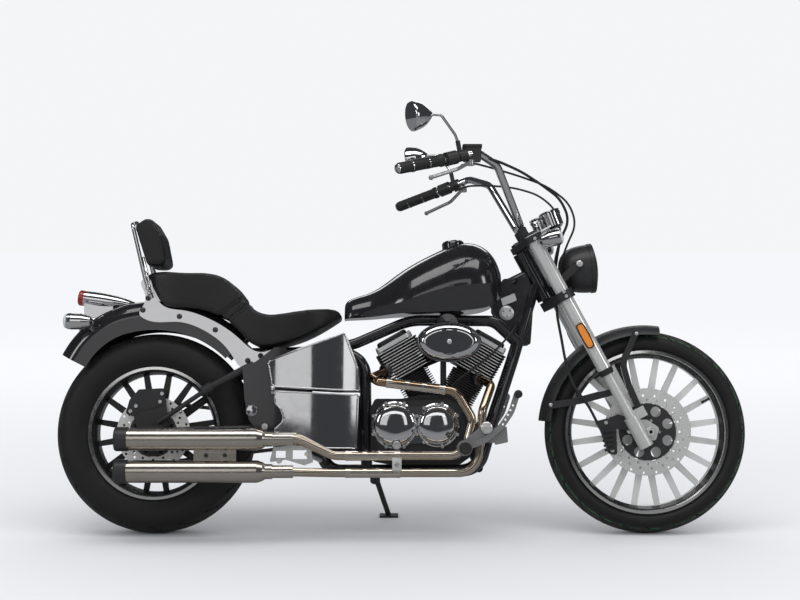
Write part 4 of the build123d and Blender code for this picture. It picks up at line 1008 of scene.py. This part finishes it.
flangeRows = [(-10, 15), (-10, 25), (2, 25), (4, 22), (4, 15)]
copied(turnedPiece(flangeRows, 28, closed=False), [posed(at, way) for at, way in portWay],
       "port_flanges", "darkAlloy", "chassis")

# bright beads that follow the edges of the side covers' panels
beads = {"thick": 5.0, "step": 14.0, "inset": 5.0, "outlines": [
    [(376, 552), (384, 562), (473, 599), (626, 652), (634, 640), (649, 599), (673, 536), (678, 464),
     (592, 464), (399, 476), (388, 485)],
    [(399, 458), (404, 466), (673, 452), (667, 278), (399, 278), (401, 339), (425, 365), (428, 383),
     (419, 406), (401, 426)]]}
beadTubes = []
for outline in beads["outlines"]:
    middle = Vector([sum(q) / len(outline) for q in zip(*outline)])
    corners = [Vector(p) + (middle - Vector(p)).normalized() * beads["inset"] for p in outline]
    for side in (-1, 1):
        line = []
        for a, b in zip(corners, corners[1:] + corners[:1]):
            count = max(1, round((b - a).length / beads["step"]))
            for i in range(count):
                x, z = a.lerp(b, i / count)
                place, _ = surfaceHit(nodes["side_covers"], (x, side * 260, z), (0, -side, 0))
                if place is not None:
                    line.append(tuple(leanMatrix.inverted() @ place * 1000))
        beadTubes.append(tubePiece(line, beads["thick"]))
joined("cover_beads", beadTubes, "chrome", "chassis")

copied(boxPiece((12, 26, 5), 1.5), [posed((396, y * 148, 468), (0, y, 0)) for y in (-1, 1)],
       "cover_clips", "chrome", "chassis")
print("trim placed")

# floor, light and camera
# near and far are the floor's colours: painted shade round the motorcycle, and painted light far off; dimmed
# is the floor's painted reflection
studio = {"floorSize": 80.0, "near": (0.6, 0.607, 0.622), "far": (0.935, 0.942, 0.95), "reach": (0.5, 7.0),
          "world": (0.97, 0.98, 1.0), "worldPower": 1.0, "mirrored": (0.045, 0.046, 0.05),
          "shown": (0.9, 0.915, 0.93), "dimmed": (0.2, 0.2, 0.205)}
bpy.ops.mesh.primitive_plane_add(size=studio["floorSize"], location=(0, 0, 0))
floor = bpy.context.object
floor.name = "studio_floor"
floorPaint = Paint("studio_floor", Specular_IOR_Level=0.0, Roughness=0.9)
# the floor is painted darker near the motorcycle, a painted shadow round it, and paler far off, painted
# light that evens out the lamps' falloff toward the wall
away = floorPaint.radius((0, 0, 0), (0, 0, 1))
pale = floorPaint.mixColour(floorPaint.mapped(away, *studio["reach"]), studio["near"], studio["far"])
# in reflections the floor shows the dimmed colour: a painted reflection darker than the floor
ray = floorPaint.add("ShaderNodeLightPath", {}, want="Is Glossy Ray")
floorPaint.put("Base Color", floorPaint.mixColour(ray, pale, studio["dimmed"]))
floor.data.materials.append(floorPaint.material)

# the world lights the scene as a pale studio; the camera sees a plain wall and polished metal a dimmed one
world = bpy.data.worlds.new("studio")
bpy.context.scene.world = world
world.use_nodes = True
tree = world.node_tree
wall = tree.nodes["Background"]
wall.inputs[0].default_value = (*studio["world"], 1.0)
wall.inputs[1].default_value = studio["worldPower"]
path = tree.nodes.new("ShaderNodeLightPath")
seen = wall
for ray, colour in (("Is Glossy Ray", studio["mirrored"]), ("Is Camera Ray", studio["shown"])):
    other = tree.nodes.new("ShaderNodeBackground")
    other.inputs[0].default_value = (*colour, 1.0)
    other.inputs[1].default_value = 1.0
    mixed = tree.nodes.new("ShaderNodeMixShader")
    tree.links.new(path.outputs[ray], mixed.inputs[0])
    tree.links.new(seen.outputs[0], mixed.inputs[1])
    tree.links.new(other.outputs[0], mixed.inputs[2])
    seen = mixed
tree.links.new(seen.outputs[0], tree.nodes["World Output"].inputs[0])

lamps = {  # place, aim, size, watts
    "top": ((0.0, -1.2, 4.2), (0.0, 0.0, 0.5), (4.8, 1.8), 70.0),
    "front": ((-0.6, -6.2, 3.4), (0.0, 0.0, 0.7), (5.0, 0.9), 15.0),
    "left": ((-4.2, -3.4, 2.5), (-0.2, 0.0, 0.6), (0.9, 1.8), 24.0),
    "right": ((4.4, -3.0, 2.5), (0.3, 0.0, 0.6), (0.9, 1.8), 24.0),
    "cardRear": ((-2.1, -6.4, 2.1), (-0.3, 0.0, 0.6), (2.4, 1.7), 7.5),
    "cardFront": ((1.5, -6.4, 2.1), (0.3, 0.0, 0.6), (0.8, 1.7), 3.5),
    "behind": ((0.0, 5.0, 3.4), (0.0, 0.0, 0.7), (5.0, 1.1), 36.0)}
for name, (place, aim, size, watts) in lamps.items():
    lamp = bpy.data.lights.new(name, "AREA")
    lamp.shape = "RECTANGLE"
    lamp.size, lamp.size_y = size
    lamp.energy = watts
    lampObject = bpy.data.objects.new("lamp_" + name, lamp)
    bpy.context.scene.collection.objects.link(lampObject)
    lampObject.location = place
    lampObject.rotation_euler = (Vector(aim) - Vector(place)).to_track_quat("-Z", "Y").to_euler()

view = {"place": (805.7, -4800, 371), "pitch": 3.24, "lens": 64.8}
camera = bpy.data.cameras.new("camera")
camera.lens = view["lens"]
camera.sensor_width = 36.0
cameraObject = bpy.data.objects.new("camera", camera)
bpy.context.scene.collection.objects.link(cameraObject)
cameraObject.location = parked(*view["place"])
cameraObject.rotation_euler = (math.radians(90 - view["pitch"]), 0, 0)
bpy.context.scene.camera = cameraObject
bpy.context.scene.view_settings.view_transform = "Standard"
print("studio ready")
